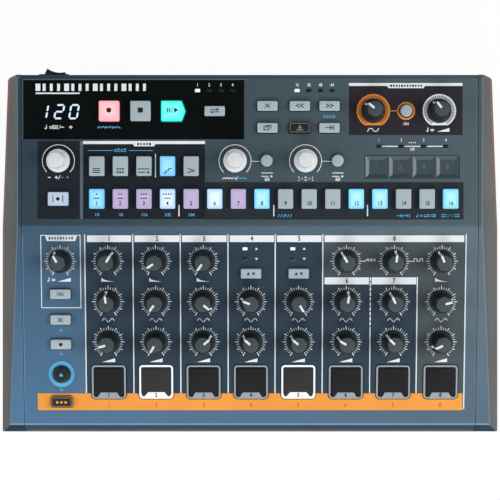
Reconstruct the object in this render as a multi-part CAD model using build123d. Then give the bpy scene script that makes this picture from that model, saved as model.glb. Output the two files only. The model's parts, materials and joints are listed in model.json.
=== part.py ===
from build123d import *
from math import asin, cos, degrees, hypot, radians, sin, sqrt, tan
import os

# A compact tabletop drum machine: a folded top panel in two slopes, a moulded tray, two end cheeks,
# rows of knobs, keys and pads, and the boards, switches and sockets that they work.
# Millimetres, +X to the player's right, +Y to the rear, +Z up. The origin is on the table under the
# middle of the whole machine. Deck positions are (x, s, n): s runs back from the bend between the two
# decks along the deck's own surface, and n stands out from the surface.

# ---- overall form ----
body_width = 316.0
upper_deck_length = 94.25
lower_deck_length = 125.9
upper_slope = 3.0
rear_height = 38.5
front_height = 15.0
foot_height = 2.5
bend_radius = 60.0
front_flange_run = 3.0
front_flange_drop = 7.0
front_lip_run = 1.56
rear_fold_run = 2.5
rear_fold_drop = 1.2
rear_flange_drop = 3.0

# ---- sheet and mouldings ----
sheet = 1.5
sheet_fold_radius = 1.8
case_wall = 2.5
case_lip_rise = 3.7
case_edge = 0.8
cheek_width = 16.0
seam_gap = 0.2

# ---- end cheeks ----
cheek_wall = 2.5
bevel_shelf = 2.6
bevel_run_per_drop = 0.55
cheek_rear_narrowing = 5.0
cheek_corner_run = 1.4
cheek_corner_length = 1.0

# ---- boards ----
board_side_margin = 10.0
board_thickness = 1.6
board_depth = 9.0
board_margin = 5.0
upper_board_rear_margin = 5.6
lower_board_front_margin = 9.9
board_post_radius = 3.0
board_post_columns = (-112.0, -36.0, 36.0, 112.0)
upper_post_rows = (14.0, 54.0)
lower_post_rows = (16.0, 62.0)

# ---- panel layout: columns and rows, drawn for a panel of this size, of which they keep their share ----
layout_half_width = 142.0
layout_upper_length = 94.25
layout_lower_length = 125.9
step_pitch = 14.63
first_step_column = -95.0
step_count = 16
step_group = 4
step_row = 16.8
mode_count = 5
mode_row = 37.1
transport_row = 71.3
channel_pitch = 29.73
first_channel_column = -88.6
channel_count = 8
knob_row_pitch = 25.4
first_knob_row = 22.0
pad_row = 98.1
left_column = -118.2

# ---- keys ----
key_clearance = 0.35
key_travel = 0.8
key_lip = 0.8
key_lip_thickness = 1.0
key_lip_gap = 0.3
key_edge = 0.35
key_corner = 0.8
step_key_width = 9.6
step_key_length = 12.6
step_key_rise = 3.0
transport_key_size = 13.0
play_tip = 2.6
function_key_width = 12.9
function_key_length = 6.5
function_key_rise = 2.4
tap_key_length = 8.8
round_key_radius = 3.7
shift_key_radius = 5.1
stem_radius = 1.7
stem_engagement = 1.0
running_clearance = 0.05
switch_size = 6.2
switch_height = 3.4
switch_bore_floor = 0.6

# ---- knobs ----
shaft_radius = 3.0
shaft_panel_clearance = 0.8
shaft_reach_in_knob = 8.0
shaft_reach_in_pot = 4.0
knob_gap = 0.8
knob_skirt_radius = 7.3
knob_skirt_height = 2.0
knob_skirt_edge = 0.5
knob_height = 13.5
knob_grip_radius = 6.3
knob_sides = 7
knob_taper = 3.0
encoder_grip_radius = 5.6
encoder_taper = 2.5
encoder_height = 14.0
pointer_width = 0.9
pointer_rise = 0.2
pointer_start = 0.8
pointer_depth = 1.0
pot_width = 9.8
pot_length = 11.4
pot_height = 6.3

# ---- pads ----
pad_frame_size = 21.2
pad_frame_wall = 1.25
pad_frame_corner = 2.2
pad_frame_rise = 0.9
pad_frame_gap = 0.5
pad_clearance = 0.3
pad_rise = 1.4
pad_thickness = 5.8
pad_travel = 1.0
pad_tab_base = 13.8
pad_tab_top = 10.4
pad_tab_height = 2.7
pad_tab_depth = 1.6
sensor_gap = 0.3

# ---- display window ----
window_columns = (-140.9, -3.7)
window_rows = (54.0, 90.7)
window_thickness = 0.8
window_fit = 0.1
display_column = -116.5
display_width = 26.0
display_length = 12.6
display_aperture = 1.0

# ---- indicator lights ----
light_width = 3.1
light_length = 1.9
light_rise = 0.2
light_clearance = 0.12
light_row = 84.2
light_pitch = 7.27
first_light_columns = (-32.6, 29.3)
repeat_light_row = 49.5
first_repeat_light_column = 80.1
repeat_light_pitch = 13.87

# ---- touch strip ----
strip_columns = (71.4, 130.1)
strip_rows = (29.8, 43.8)
strip_cell_count = 4
strip_dish = 0.9
strip_rim = 0.35
strip_slope_run = 2.3
strip_gap = 0.25

# ---- rear sockets and power switch ----
socket_head_room = 2.1
jack_board_height = 7.0
jack_board_length = 30.0
jack_board_overhang = 10.0
jack_board_post_inset = 5.0
jack_columns = (40.0, 64.0, 88.0)
jack_bore_radius = 3.25
jack_length = 24.0
jack_nut_radius = 6.2
jack_nut_thickness = 1.4
jack_bushing_radius = 4.6
jack_bushing_proud = 2.0
din_columns = (-50.0, -24.0)
din_bore_radius = 7.3
din_core_radius = 5.9
din_length = 14.0
usb_column = -76.0
power_inlet_column = -98.0
plug_room = 4.8
switch_column = -123.0
switch_top_margin = 3.0
switch_room_margin = 1.0
switch_bezel_width = 18.8
switch_bezel_height = 14.0
switch_bezel_proud = 1.5
switch_bezel_corner = 1.0
switch_body_width = 16.6
switch_body_height = 12.4
switch_body_length = 9.0
rocker_height = 10.0
rocker_tilt = 12.0
rocker_corner_x = 5.73
rocker_corner_rise = 5.94
rocker_waist = 6.9
rocker_pivot_depth = 3.0
rocker_underside = 2.0
rocker_dish = 1.3
rocker_pin_radius = 1.2
rocker_pin_length = 0.8
rocker_side_clearance = 0.35

# ---- feet and screws ----
foot_radius = 7.0
foot_recess = 0.6
foot_side_margin = 20.0
foot_ys = (-92.0, 0.0, 90.0)
screw_radius = 1.4
screw_head_radius = 2.8
screw_head_height = 1.6
boss_radius = 3.6
boss_side_margin = 6.1
boss_ys = (-98.0, -32.0, 40.0, 92.0)
stud_radius = 2.6
stud_length = 5.0
cheek_screw_ys = (-70.0, 5.0, 75.0)
cheek_screw_height = 10.0
cheek_screw_length = 8.0
cheek_boss_radius = 3.2

# ---- places worked out from the sizes ----
rocker_reach = (rocker_corner_x * sin(radians(rocker_tilt)) + rocker_corner_rise * cos(radians(rocker_tilt))
                - rocker_pivot_depth)
bend_z = rear_height - upper_deck_length * sin(radians(upper_slope))
lower_slope = degrees(asin((bend_z - front_height) / lower_deck_length))
front_run = lower_deck_length * cos(radians(lower_slope)) + front_flange_run + front_lip_run
rear_run = upper_deck_length * cos(radians(upper_slope))
bend_y = (front_run - rear_run - switch_bezel_proud - rocker_reach) / 2
rear_y = bend_y + rear_run
front_y = bend_y - front_run
case_floor = foot_height + case_wall
board_underside = board_depth + board_thickness
seam_x = body_width / 2 - cheek_width
bevel_top_x = seam_x + bevel_shelf
case_half_width = seam_x - seam_gap / 2
boss_xs = (boss_side_margin - seam_x, seam_x - boss_side_margin)
foot_xs = (foot_side_margin - seam_x, seam_x - foot_side_margin)


def deck_plane(slope):
    tilt = radians(slope)
    return Plane(origin=(0, bend_y, bend_z), x_dir=(1, 0, 0), z_dir=(0, -sin(tilt), cos(tilt)))


upper = deck_plane(upper_slope)
lower = deck_plane(lower_slope)


def on(deck, x, s, n=0.0):
    return deck.location * Location((x, s, n))


def deck_height(y):
    # height of the panel's outer face at a place along the machine
    slope = upper_slope if y > bend_y else lower_slope
    return bend_z + (y - bend_y) * tan(radians(slope))


def across(column):
    # x of a column of the layout
    return column * seam_x / layout_half_width


def upper_s(row):
    # s of a row of the upper deck, counted back from the bend
    return row * upper_deck_length / layout_upper_length


def lower_s(row):
    # s of a row of the lower deck, counted forward from the bend
    return -row * lower_deck_length / layout_lower_length


def channel_x(index):
    return across(first_channel_column + index * channel_pitch)


def knob_row(index):
    return lower_s(first_knob_row + index * knob_row_pitch)


def step_x(index):
    return across(first_step_column + index * step_pitch)


def block(width, length, bottom, top, corner=0.0):
    # upright block on its own x and s axes, with rounded corners where corner is given
    outline = RectangleRounded(width, length, corner) if corner else Rectangle(width, length)
    return Pos(0, 0, bottom) * extrude(outline, amount=top - bottom)


def post(radius, bottom, top):
    return Pos(0, 0, bottom) * extrude(Circle(radius), amount=top - bottom)


def span(x, y, z):
    # block between two limits on each axis
    size = [high - low for low, high in (x, y, z)]
    middle = [(high + low) / 2 for low, high in (x, y, z)]
    return Pos(*middle) * Box(*size)


def save(node, *pieces):
    solids = [solid for piece in pieces for solid in piece.solids()]
    group = Compound(solids)
    group.label = node
    export_step(group, f"parts/{node}.step")


# ---- side profile of the machine ----
def direction(start, end):
    length = hypot(end[0] - start[0], end[1] - start[1])
    return ((end[0] - start[0]) / length, (end[1] - start[1]) / length)


def inside_path(points, distance):
    # the path that runs parallel to points, on its lower side, with mitred corners
    ways = [direction(a, b) for a, b in zip(points, points[1:])]
    sides = [(way[1], -way[0]) for way in ways]
    sides = [sides[0]] + sides + [sides[-1]]
    path = []
    for point, before, after in zip(points, sides, sides[1:]):
        spread = 1 + before[0] * after[0] + before[1] * after[1]
        path.append(tuple(p + distance * (b + a) / spread for p, b, a in zip(point, before, after)))
    return path


def deck_point(slope, s):
    return (bend_y + s * cos(radians(slope)), bend_z + s * sin(radians(slope)))


front_edge = deck_point(lower_slope, -lower_deck_length)
flange_end = (front_edge[0] - front_flange_run, front_edge[1] - front_flange_drop)
rear_fold = deck_point(upper_slope, upper_deck_length - rear_fold_run)
rear_corner = (rear_y, rear_fold[1] - rear_fold_drop)
rear_flange_end = (rear_y, rear_corner[1] - rear_flange_drop)
panel_path = [flange_end, front_edge, (bend_y, bend_z), rear_fold, rear_corner, rear_flange_end]
fold_radii = [sheet_fold_radius, bend_radius, sheet_fold_radius, sheet_fold_radius]


def sheet_face(points, radii, thickness):
    outer = FilletPolyline(*points, radius=radii)
    inner = FilletPolyline(*inside_path(points, thickness), radius=[radius - thickness for radius in radii])
    ends = [Line(outer @ 0, inner @ 0), Line(outer @ 1, inner @ 1)]
    return make_face(outer.edges() + inner.edges() + ends[0].edges() + ends[1].edges())


def extrude_across(outline, left, right):
    # outline in (y, z), made solid from left to right
    return Pos(left, 0, 0) * extrude(Plane.YZ * outline, amount=right - left)


# ---- keys ----
def lip_size(size):
    return size + 2 * key_lip


def rectangular_key(width, length, rise):
    cap = chamfer(block(width, length, -sheet - key_lip_gap, rise, key_corner).faces().sort_by(Axis.Z)[-1].edges(),
                  key_edge)
    lip_top = -sheet - key_lip_gap
    lip = block(lip_size(width), lip_size(length), lip_top - key_lip_thickness, lip_top, key_corner)
    return cap + lip + stem()


def round_key(radius, rise):
    lip_top = -sheet - key_lip_gap
    cap = chamfer(post(radius, lip_top, rise).faces().sort_by(Axis.Z)[-1].edges(), key_edge)
    return cap + post(radius + key_lip, lip_top - key_lip_thickness, lip_top) + stem()


def play_outline(grow):
    half = transport_key_size / 2 + grow
    tip = transport_key_size / 2 + play_tip + grow
    return make_face(Polyline((-half, -half), (half, -half), (tip, 0), (half, half), (-half, half), close=True))


def play_key():
    lip_top = -sheet - key_lip_gap
    cap = Pos(0, 0, lip_top) * extrude(play_outline(0), amount=step_key_rise - lip_top)
    cap = chamfer(cap.faces().sort_by(Axis.Z)[-1].edges(), key_edge)
    lip = Pos(0, 0, lip_top - key_lip_thickness) * extrude(play_outline(key_lip), amount=key_lip_thickness)
    return cap + lip + stem()


def stem():
    switch_top = -board_depth + switch_height
    return post(stem_radius, switch_top - stem_engagement, -sheet - key_lip_gap - key_lip_thickness / 2)


def tact_switch():
    body = block(switch_size, switch_size, -board_depth, -board_depth + switch_height)
    bore = post(stem_radius + running_clearance, -board_depth + switch_bore_floor, -board_depth + switch_height)
    return body - bore


def rectangular_hole(width, length):
    clear = 2 * key_clearance
    return block(width + clear, length + clear, -2 * sheet, sheet, key_corner + key_clearance)


def round_hole(radius):
    return post(radius, -2 * sheet, sheet)


# Every key: (group, deck, x, s, key, hole). A group is one node.
keys = []


def add_rectangular(group, deck, x, s, width, length, rise):
    keys.append((group, deck, x, s, rectangular_key(width, length, rise), rectangular_hole(width, length)))


def add_round(group, deck, x, s, radius):
    keys.append((group, deck, x, s, round_key(radius, function_key_rise), round_hole(radius + key_clearance)))


record_column = -87.4
stop_column = -67.9
play_column = -48.8
for name, column in (("record_button", record_column), ("stop_button", stop_column)):
    add_rectangular(name, upper, across(column), upper_s(transport_row), transport_key_size, transport_key_size,
                    step_key_rise)
play_hole = Pos(0, 0, -2 * sheet) * extrude(play_outline(key_clearance), amount=3 * sheet)
keys.append(("play_button", upper, across(play_column), upper_s(transport_row), play_key(), play_hole))

for index in range(step_count):
    first = index - index % step_group + 1
    group = f"step_buttons_{first}_to_{first + step_group - 1}"
    add_rectangular(group, upper, step_x(index), upper_s(step_row), step_key_width, step_key_length,
                    step_key_rise)
for index in range(mode_count):
    add_rectangular("upper_function_buttons", upper, step_x(index), upper_s(mode_row), step_key_width,
                    step_key_length, step_key_rise)

sync_column = -21.9
edit_key_columns = (10.8, 30.9, 49.3)
edit_key_rows = (74.5, 60.9)
for column, row in [(sync_column, transport_row)] + [(x, s) for s in edit_key_rows for x in edit_key_columns]:
    add_rectangular("upper_function_buttons", upper, across(column), upper_s(row), function_key_width,
                    function_key_length, function_key_rise)
tap_column = -119.0
add_rectangular("upper_function_buttons", upper, across(tap_column), upper_s(step_row), function_key_width,
                tap_key_length, function_key_rise)
encoder_row = 40.5
effect_key_columns = (10.4, 54.4)
output_row = 71.5
output_key_column = 97.0
for column, row in [(x, encoder_row) for x in effect_key_columns] + [(output_key_column, output_row)]:
    add_round("upper_function_buttons", upper, across(column), upper_s(row), round_key_radius)

left_key_rows = (42.5, 58.6, 74.1)
color_key_row = 110.7
shift_key_row = 93.3
for row in (*left_key_rows, color_key_row):
    add_rectangular("lower_function_buttons", lower, across(left_column), lower_s(row), function_key_width,
                    function_key_length, function_key_rise)
add_round("lower_function_buttons", lower, across(left_column), lower_s(shift_key_row), shift_key_radius)

# clockwise angle of each channel's pointers from straight back, None where a type key takes the place
row_names = ("upper", "middle", "lower")
channel_angles = [
    (30, -8, -105),
    (-125, -145, -150),
    (-145, 130, 50),
    (None, -70, -50),
    (None, 150, -50),
    (-30, 10, -60),
    (5, -25, -45),
    (-22, 75, -115),
]
type_key_row = 29.6
channels_with_type = [channel for channel, angles in enumerate(channel_angles) if angles[0] is None]
for channel in channels_with_type:
    add_rectangular("lower_function_buttons", lower, channel_x(channel), lower_s(type_key_row),
                    function_key_width, function_key_length, function_key_rise)

# ---- knobs: (name, deck, x, s, angle) ----
output_knob_columns = (76.6, 117.6)
pots = [("metronome_knob", lower, across(left_column), knob_row(0), -30),
        ("output_drive_knob", upper, across(output_knob_columns[0]), upper_s(output_row), -50),
        ("output_volume_knob", upper, across(output_knob_columns[1]), upper_s(output_row), -37)]
for channel, angles in enumerate(channel_angles):
    for row, angle in enumerate(angles):
        if angle is not None:
            name = f"channel_{channel + 1}_{row_names[row]}_knob"
            pots.append((name, lower, channel_x(channel), knob_row(row), angle))
effect_knob_columns = (-9.3, 34.5)
encoders = [("value_encoder_knob", upper, across(tap_column), upper_s(encoder_row), 0),
            ("effect_encoder_knob_1", upper, across(effect_knob_columns[0]), upper_s(encoder_row), 0),
            ("effect_encoder_knob_2", upper, across(effect_knob_columns[1]), upper_s(encoder_row), 0)]


def pointer(grip_radius, taper, height):
    # raised line from near the axis, over the top and down the middle of one flat
    flat = grip_radius * cos(radians(180 / knob_sides))
    top_flat = flat - (height - knob_skirt_height) * tan(radians(taper))
    outline = Polyline((pointer_start, height - pointer_depth), (pointer_start, height + pointer_rise),
                       (top_flat + pointer_rise, height + pointer_rise),
                       (flat + pointer_rise, knob_skirt_height), (flat - pointer_depth, knob_skirt_height),
                       (top_flat - pointer_depth, height - pointer_depth), close=True)
    return extrude(Plane.YZ * make_face(outline), amount=pointer_width / 2, both=True)


def knob(grip_radius, taper, height, with_pointer):
    skirt = chamfer(post(knob_skirt_radius, 0, knob_skirt_height).faces().sort_by(Axis.Z)[-1].edges(),
                    knob_skirt_edge)
    polygon = Rot(0, 0, 90 + 180 / knob_sides) * RegularPolygon(grip_radius, knob_sides)
    grip = Pos(0, 0, knob_skirt_height / 2) * extrude(polygon, amount=height - knob_skirt_height / 2, taper=taper)
    body = skirt + grip
    if with_pointer:
        body += pointer(grip_radius, taper, height)
    return body - post(shaft_radius + running_clearance, 0, shaft_reach_in_knob)


def shaft():
    pot_top = -board_depth + pot_height
    return post(shaft_radius, pot_top - shaft_reach_in_pot, knob_gap + shaft_reach_in_knob - running_clearance)


def pot_body():
    top = -board_depth + pot_height
    body = block(pot_width, pot_length, -board_depth, top)
    return body - post(shaft_radius + running_clearance, top - shaft_reach_in_pot - pad_clearance, top)


# ---- pads ----
pad_inner_size = pad_frame_size - 2 * pad_frame_wall
pad_size = pad_inner_size - 2 * pad_clearance
pad_inner_corner = pad_frame_corner - pad_frame_wall


def pad_tab(grow, bottom, top):
    # trapezoid along the front inner edge of a frame
    edge = -pad_inner_size / 2
    base = pad_tab_base / 2 + grow
    tip = pad_tab_top / 2 + grow
    outline = Polyline((-base, edge - pad_frame_wall / 2), (base, edge - pad_frame_wall / 2), (base, edge),
                       (tip, edge + pad_tab_height + grow), (-tip, edge + pad_tab_height + grow),
                       (-base, edge), close=True)
    return Pos(0, 0, bottom) * extrude(make_face(outline), amount=top - bottom)


def pad_frame():
    ring = block(pad_frame_size, pad_frame_size, -board_depth, pad_frame_rise, pad_frame_corner)
    ring -= block(pad_inner_size, pad_inner_size, -board_depth, pad_frame_rise, pad_inner_corner)
    return ring + pad_tab(0, pad_frame_rise - pad_tab_depth, pad_frame_rise)


def pad():
    body = block(pad_size, pad_size, pad_rise - pad_thickness, pad_rise, pad_inner_corner)
    body = chamfer(body.faces().sort_by(Axis.Z)[-1].edges(), key_edge)
    notch_floor = pad_frame_rise - pad_tab_depth - pad_travel - pad_clearance
    return body - pad_tab(pad_clearance, notch_floor - pad_travel, pad_rise)


def pad_sensor():
    top = pad_rise - pad_thickness - pad_travel - sensor_gap
    return block(pad_size, pad_size, -board_depth, top)


pads = [(f"pad_{channel + 1}", channel_x(channel), lower_s(pad_row)) for channel in range(channel_count)]

# ---- indicator lights ----
type_light_offset = -3.7
type_light_rows = (14.2, 20.5)
lights_per_row_count = 4
lights = [(upper, across(first + index * light_pitch), upper_s(light_row))
          for first in first_light_columns for index in range(lights_per_row_count)]
lights += [(upper, across(first_repeat_light_column + index * repeat_light_pitch), upper_s(repeat_light_row))
           for index in range(strip_cell_count)]
lights += [(lower, channel_x(channel) + type_light_offset, lower_s(row))
           for channel in channels_with_type for row in type_light_rows]


def light_pipe():
    return block(light_width, light_length, -board_depth, light_rise)


def light_hole():
    return block(light_width + 2 * light_clearance, light_length + 2 * light_clearance, -2 * sheet, sheet)


# ---- display window ----
window_left, window_right = (across(column) for column in window_columns)
window_front, window_rear = (upper_s(row) for row in window_rows)
window_width = window_right - window_left
window_length = window_rear - window_front
window_place = ((window_left + window_right) / 2, (window_front + window_rear) / 2)
display_place = (across(display_column), upper_s(transport_row))


def display_window():
    plate = on(upper, *window_place) * block(window_width, window_length, -window_thickness, 0)
    holes = [on(deck, x, s) * hole for _, deck, x, s, _, hole in keys if in_window(x, s) and deck is upper]
    holes += [on(deck, x, s) * light_hole() for deck, x, s in lights if in_window(x, s) and deck is upper]
    return plate - holes


def in_window(x, s):
    return window_left < x < window_right and window_front < s < window_rear


def display_module():
    top = -sheet - key_lip_gap
    return on(upper, *display_place) * block(display_width, display_length, -board_depth, top)


# ---- touch strip ----
strip_left, strip_right = (across(column) for column in strip_columns)
strip_front, strip_rear = (upper_s(row) for row in strip_rows)
strip_width = strip_right - strip_left
strip_length = strip_rear - strip_front
strip_place = ((strip_left + strip_right) / 2, (strip_front + strip_rear) / 2)


def touch_strip():
    # each cell sinks to a flat floor, with a wide slope on all four sides
    body = block(strip_width, strip_length, -board_depth, 0)
    cell = strip_width / strip_cell_count
    inset = 2 * (strip_rim + strip_slope_run)
    dish = loft([Pos(0, 0, -strip_dish) * Rectangle(cell - inset, strip_length - inset),
                 Rectangle(cell - 2 * strip_rim, strip_length - 2 * strip_rim)], ruled=True)
    dishes = [Pos(-strip_width / 2 + cell * (index + 0.5), 0, 0) * dish for index in range(strip_cell_count)]
    return on(upper, *strip_place) * (body - dishes)


# ---- top panel ----
def folded_sheet():
    return extrude_across(sheet_face(panel_path, fold_radii, sheet), -case_half_width + seam_gap / 2,
                          case_half_width - seam_gap / 2)


def panel_stud(x, y, whole_sheet):
    # a threaded standoff, welded to the panel's underside
    top = deck_height(y) - sheet / 2
    bottom = deck_height(y) - sheet - stud_length
    bore = post(screw_radius + running_clearance, bottom, top - sheet)
    return Pos(x, y, 0) * (post(stud_radius, bottom, top) - bore) - whole_sheet


def stud_places():
    return [(x, y) for x in boss_xs for y in boss_ys]


def top_panel():
    cuts = [on(deck, x, s) * hole for _, deck, x, s, _, hole in keys]
    cuts += [on(deck, x, s) * round_hole(shaft_radius + shaft_panel_clearance)
             for _, deck, x, s, _ in pots + encoders]
    frame_hole = pad_frame_size + 2 * pad_frame_gap
    cuts += [on(lower, x, s) * block(frame_hole, frame_hole, -2 * sheet, sheet, pad_frame_corner + pad_frame_gap)
             for _, x, s in pads]
    cuts += [on(deck, x, s) * light_hole() for deck, x, s in lights]
    cuts.append(on(upper, *strip_place) * block(strip_width + 2 * strip_gap, strip_length + 2 * strip_gap,
                                                -2 * sheet, sheet))
    cuts.append(on(upper, *window_place) * block(window_width + 2 * window_fit, window_length + 2 * window_fit,
                                                 -window_thickness, sheet))
    cuts.append(on(upper, *display_place) * block(display_width - 2 * display_aperture,
                                                  display_length - 2 * display_aperture, -2 * sheet, sheet))
    return folded_sheet() - cuts


# ---- bottom case ----
def case_outline():
    back = direction(front_edge, flange_end)
    inner = inside_path(panel_path, sheet + seam_gap)
    front_top = tuple(p + seam_gap * b for p, b in zip(flange_end, back))
    front_inner = tuple(p + seam_gap * b for p, b in zip(inner[0], back))
    rear_top = rear_flange_end[1] - seam_gap
    lip_top = (front_y, foot_height + case_lip_rise)
    return make_face(Polyline((front_y + case_edge, foot_height), (front_y, foot_height + case_edge), lip_top,
                              front_top, front_inner, *inner[1:-1], (inner[-1][0], rear_top),
                              (rear_y, rear_top), (rear_y, foot_height), close=True))


def board_posts():
    # short posts under the upper and lower boards, cut off along each board's underside
    posts = []
    for deck, rows in ((upper, [upper_s(row) for row in upper_post_rows]),
                       (lower, [lower_s(row) for row in lower_post_rows])):
        for column in board_post_columns:
            for s in rows:
                place = on(deck, across(column), s, -board_underside).position
                tall = Pos(place.X, place.Y, 0) * post(board_post_radius, foot_height,
                                                       place.Z + board_post_radius)
                cover = on(deck, 0, 0, -board_underside) * block(body_width, 3 * lower_deck_length, 0, rear_height)
                posts.append(tall - cover)
    return posts


def screw_boss(x, y):
    return Pos(x, y, 0) * post(boss_radius, foot_height, deck_height(y) - sheet - stud_length)


def screw_bore(x, y):
    counterbore = post(screw_head_radius + seam_gap, foot_height, foot_height + screw_head_height + seam_gap)
    return Pos(x, y, 0) * (post(screw_radius + seam_gap, foot_height, rear_height) + counterbore)


def sideways(piece, x, y, z):
    # a piece built along +Z, laid along +X from x
    return Pos(x, y, z) * Rot(0, 90, 0) * piece


def cheek_screw_places():
    return [(side, y) for side in (-1, 1) for y in cheek_screw_ys]


jack_xs = [across(column) for column in jack_columns]
din_xs = [across(column) for column in din_columns]
usb_x = across(usb_column)
power_inlet_x = across(power_inlet_column)
switch_x = across(switch_column)
switch_z = rear_flange_end[1] - seam_gap - switch_top_margin - switch_bezel_height / 2
wall_inside = rear_y - case_wall - seam_gap
jack_board_y = (wall_inside - jack_board_length, wall_inside)
jack_board_x = (power_inlet_x - jack_board_overhang, jack_xs[-1] + jack_board_overhang)
socket_floor = jack_board_height + board_thickness
socket_top = deck_height(wall_inside - jack_length) - board_underside / cos(radians(upper_slope)) - socket_head_room
socket_height = (socket_floor + socket_top) / 2
socket_half_height = (socket_top - socket_floor) / 2


def bottom_case():
    case = extrude_across(case_outline(), -case_half_width, case_half_width)
    inner_x = case_half_width - case_wall
    case -= span((-inner_x, inner_x), (front_edge[0] + seam_gap, rear_y - case_wall), (case_floor, 2 * rear_height))
    inside = span((-case_half_width, case_half_width), (front_y, rear_y), (foot_height, 2 * rear_height))
    case += [screw_boss(x, y) & inside for x, y in stud_places()]
    case += board_posts()
    case += [span((x - board_post_radius, x + board_post_radius), (y - board_post_radius, y + board_post_radius),
                  (foot_height, jack_board_height))
             for x in (jack_board_x[0] + jack_board_post_inset, jack_board_x[1] - jack_board_post_inset)
             for y in (jack_board_y[0] + jack_board_post_inset, jack_board_y[1] - jack_board_post_inset)]
    cuts = [screw_bore(x, y) for x, y in stud_places()]
    cuts += [Pos(x, y, 0) * post(foot_radius + seam_gap, foot_height, foot_height + foot_recess)
             for x in foot_xs for y in foot_ys]
    cuts += [sideways(post(screw_radius + seam_gap, -2 * case_wall, 2 * case_wall), side * case_half_width, y,
                      foot_height + cheek_screw_height) for side, y in cheek_screw_places()]
    cuts += [rear_hole(outline, x, z) for outline, x, z in rear_holes]
    return case - cuts


# ---- end cheeks ----
def cheek_form(inset, inner_x):
    # the right-hand cheek, solid, with every outer face moved in by inset
    side = Polyline((front_y, foot_height), (front_y, foot_height + case_lip_rise), flange_end, front_edge,
                    (bend_y, bend_z), rear_fold, rear_corner, (rear_y, foot_height), close=True)
    outline = make_face(side)
    if inset:
        outline = offset(outline, amount=-inset, kind=Kind.INTERSECTION)
    outer_x = body_width / 2 - inset
    form = extrude_across(outline, inner_x, outer_x)
    reach = body_width
    bevel_shift = inset * hypot(1, bevel_run_per_drop)
    bevel_side = Plane(origin=(0, bend_y, bend_z), x_dir=(1, 0, 0), z_dir=-upper.y_dir)
    bevel = Polyline((0, reach), (bevel_top_x - bevel_shift - bevel_run_per_drop * reach, reach),
                     (bevel_top_x - bevel_shift + bevel_run_per_drop * reach, -reach), (0, -reach), close=True)
    form &= extrude(bevel_side * make_face(bevel), amount=reach, both=True)
    rear_x = outer_x - cheek_rear_narrowing
    back = rear_y - inset
    plan = Polyline((0, -reach), (outer_x, -reach), (outer_x, bend_y), (rear_x, back - cheek_corner_length),
                    (rear_x - cheek_corner_run, back), (0, back), close=True)
    return form & extrude(make_face(plan), amount=reach)


def cheek():
    inner_x = seam_x + seam_gap / 2
    shell = cheek_form(0, inner_x) - cheek_form(cheek_wall, inner_x)
    bosses = [sideways(post(cheek_boss_radius, 0, body_width / 8), inner_x, y, foot_height + cheek_screw_height)
              for y in cheek_screw_ys]
    shell += [boss & cheek_form(cheek_wall / 2, inner_x) for boss in bosses]
    depth = cheek_screw_length + seam_gap
    return shell - [sideways(post(screw_radius + running_clearance, 0, depth), inner_x, y,
                             foot_height + cheek_screw_height) for y in cheek_screw_ys]


# ---- rear sockets: each faces +Y and its nose fills a hole in the case's rear wall ----
def rearwards(outline, x, z, start, end):
    # outline in (x, z), made solid from start to end along Y
    plane = Plane(origin=(x, end, z), x_dir=(1, 0, 0), z_dir=(0, -1, 0))
    return extrude(plane * outline, amount=end - start)


def rear_hole(outline, x, z):
    return rearwards(offset(outline, amount=seam_gap), x, z, rear_y - 2 * case_wall, rear_y + case_wall)


usb_shell = (12.0, 11.0)
usb_port = (8.6, 7.9)
usb_tongue = (5.7, 3.2)
inlet_radius = 5.0
inlet_bore_radius = 3.15
inlet_pin_radius = 1.0
din_nose_radius = 8.6
socket_body_widths = {"jack": 15.0, "din": 19.0, "usb": usb_shell[0], "inlet": 11.0}
socket_depth = 9.0
pin_hole_radius = 0.8
din_pin_circle = 3.75
din_pin_count = 5


def socket_body(kind, x, length):
    outline = Rectangle(socket_body_widths[kind], 2 * socket_half_height)
    return rearwards(outline, x, socket_height, wall_inside - length, wall_inside)


def jack(x):
    bushing_end = rear_y + jack_bushing_proud
    solid = socket_body("jack", x, jack_length)
    solid += rearwards(Circle(jack_bushing_radius), x, socket_height, wall_inside, bushing_end)
    solid += rearwards(RegularPolygon(jack_nut_radius, 6), x, socket_height, rear_y + seam_gap / 2,
                       rear_y + seam_gap / 2 + jack_nut_thickness)
    bore_start = wall_inside - jack_length + case_wall
    return solid - rearwards(Circle(jack_bore_radius), x, socket_height, bore_start, bushing_end)


def din_socket(x):
    solid = socket_body("din", x, din_length)
    solid += rearwards(Circle(din_nose_radius), x, socket_height, wall_inside, rear_y)
    room = rearwards(Circle(din_bore_radius), x, socket_height, rear_y - plug_room, rear_y)
    groove = rearwards(Circle(din_bore_radius) - Circle(din_core_radius), x, socket_height,
                       rear_y - socket_depth, rear_y)
    pins = [rearwards(Circle(pin_hole_radius), x + din_pin_circle * cos(radians(angle)),
                      socket_height - din_pin_circle * sin(radians(angle)), rear_y - socket_depth, rear_y)
            for angle in [180 * index / (din_pin_count - 1) for index in range(din_pin_count)]]
    return solid - [room, groove, *pins]


def usb_socket():
    solid = socket_body("usb", usb_x, din_length)
    solid += rearwards(Rectangle(*usb_shell), usb_x, socket_height, wall_inside, rear_y)
    solid -= rearwards(Rectangle(*usb_port), usb_x, socket_height, rear_y - socket_depth, rear_y)
    return solid + rearwards(Rectangle(*usb_tongue), usb_x, socket_height, rear_y - socket_depth,
                             rear_y - plug_room)


def power_inlet():
    solid = socket_body("inlet", power_inlet_x, din_length)
    solid += rearwards(Circle(inlet_radius), power_inlet_x, socket_height, wall_inside, rear_y)
    solid -= rearwards(Circle(inlet_bore_radius), power_inlet_x, socket_height, rear_y - socket_depth, rear_y)
    return solid + rearwards(Circle(inlet_pin_radius), power_inlet_x, socket_height, rear_y - socket_depth,
                             rear_y - plug_room)


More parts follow.
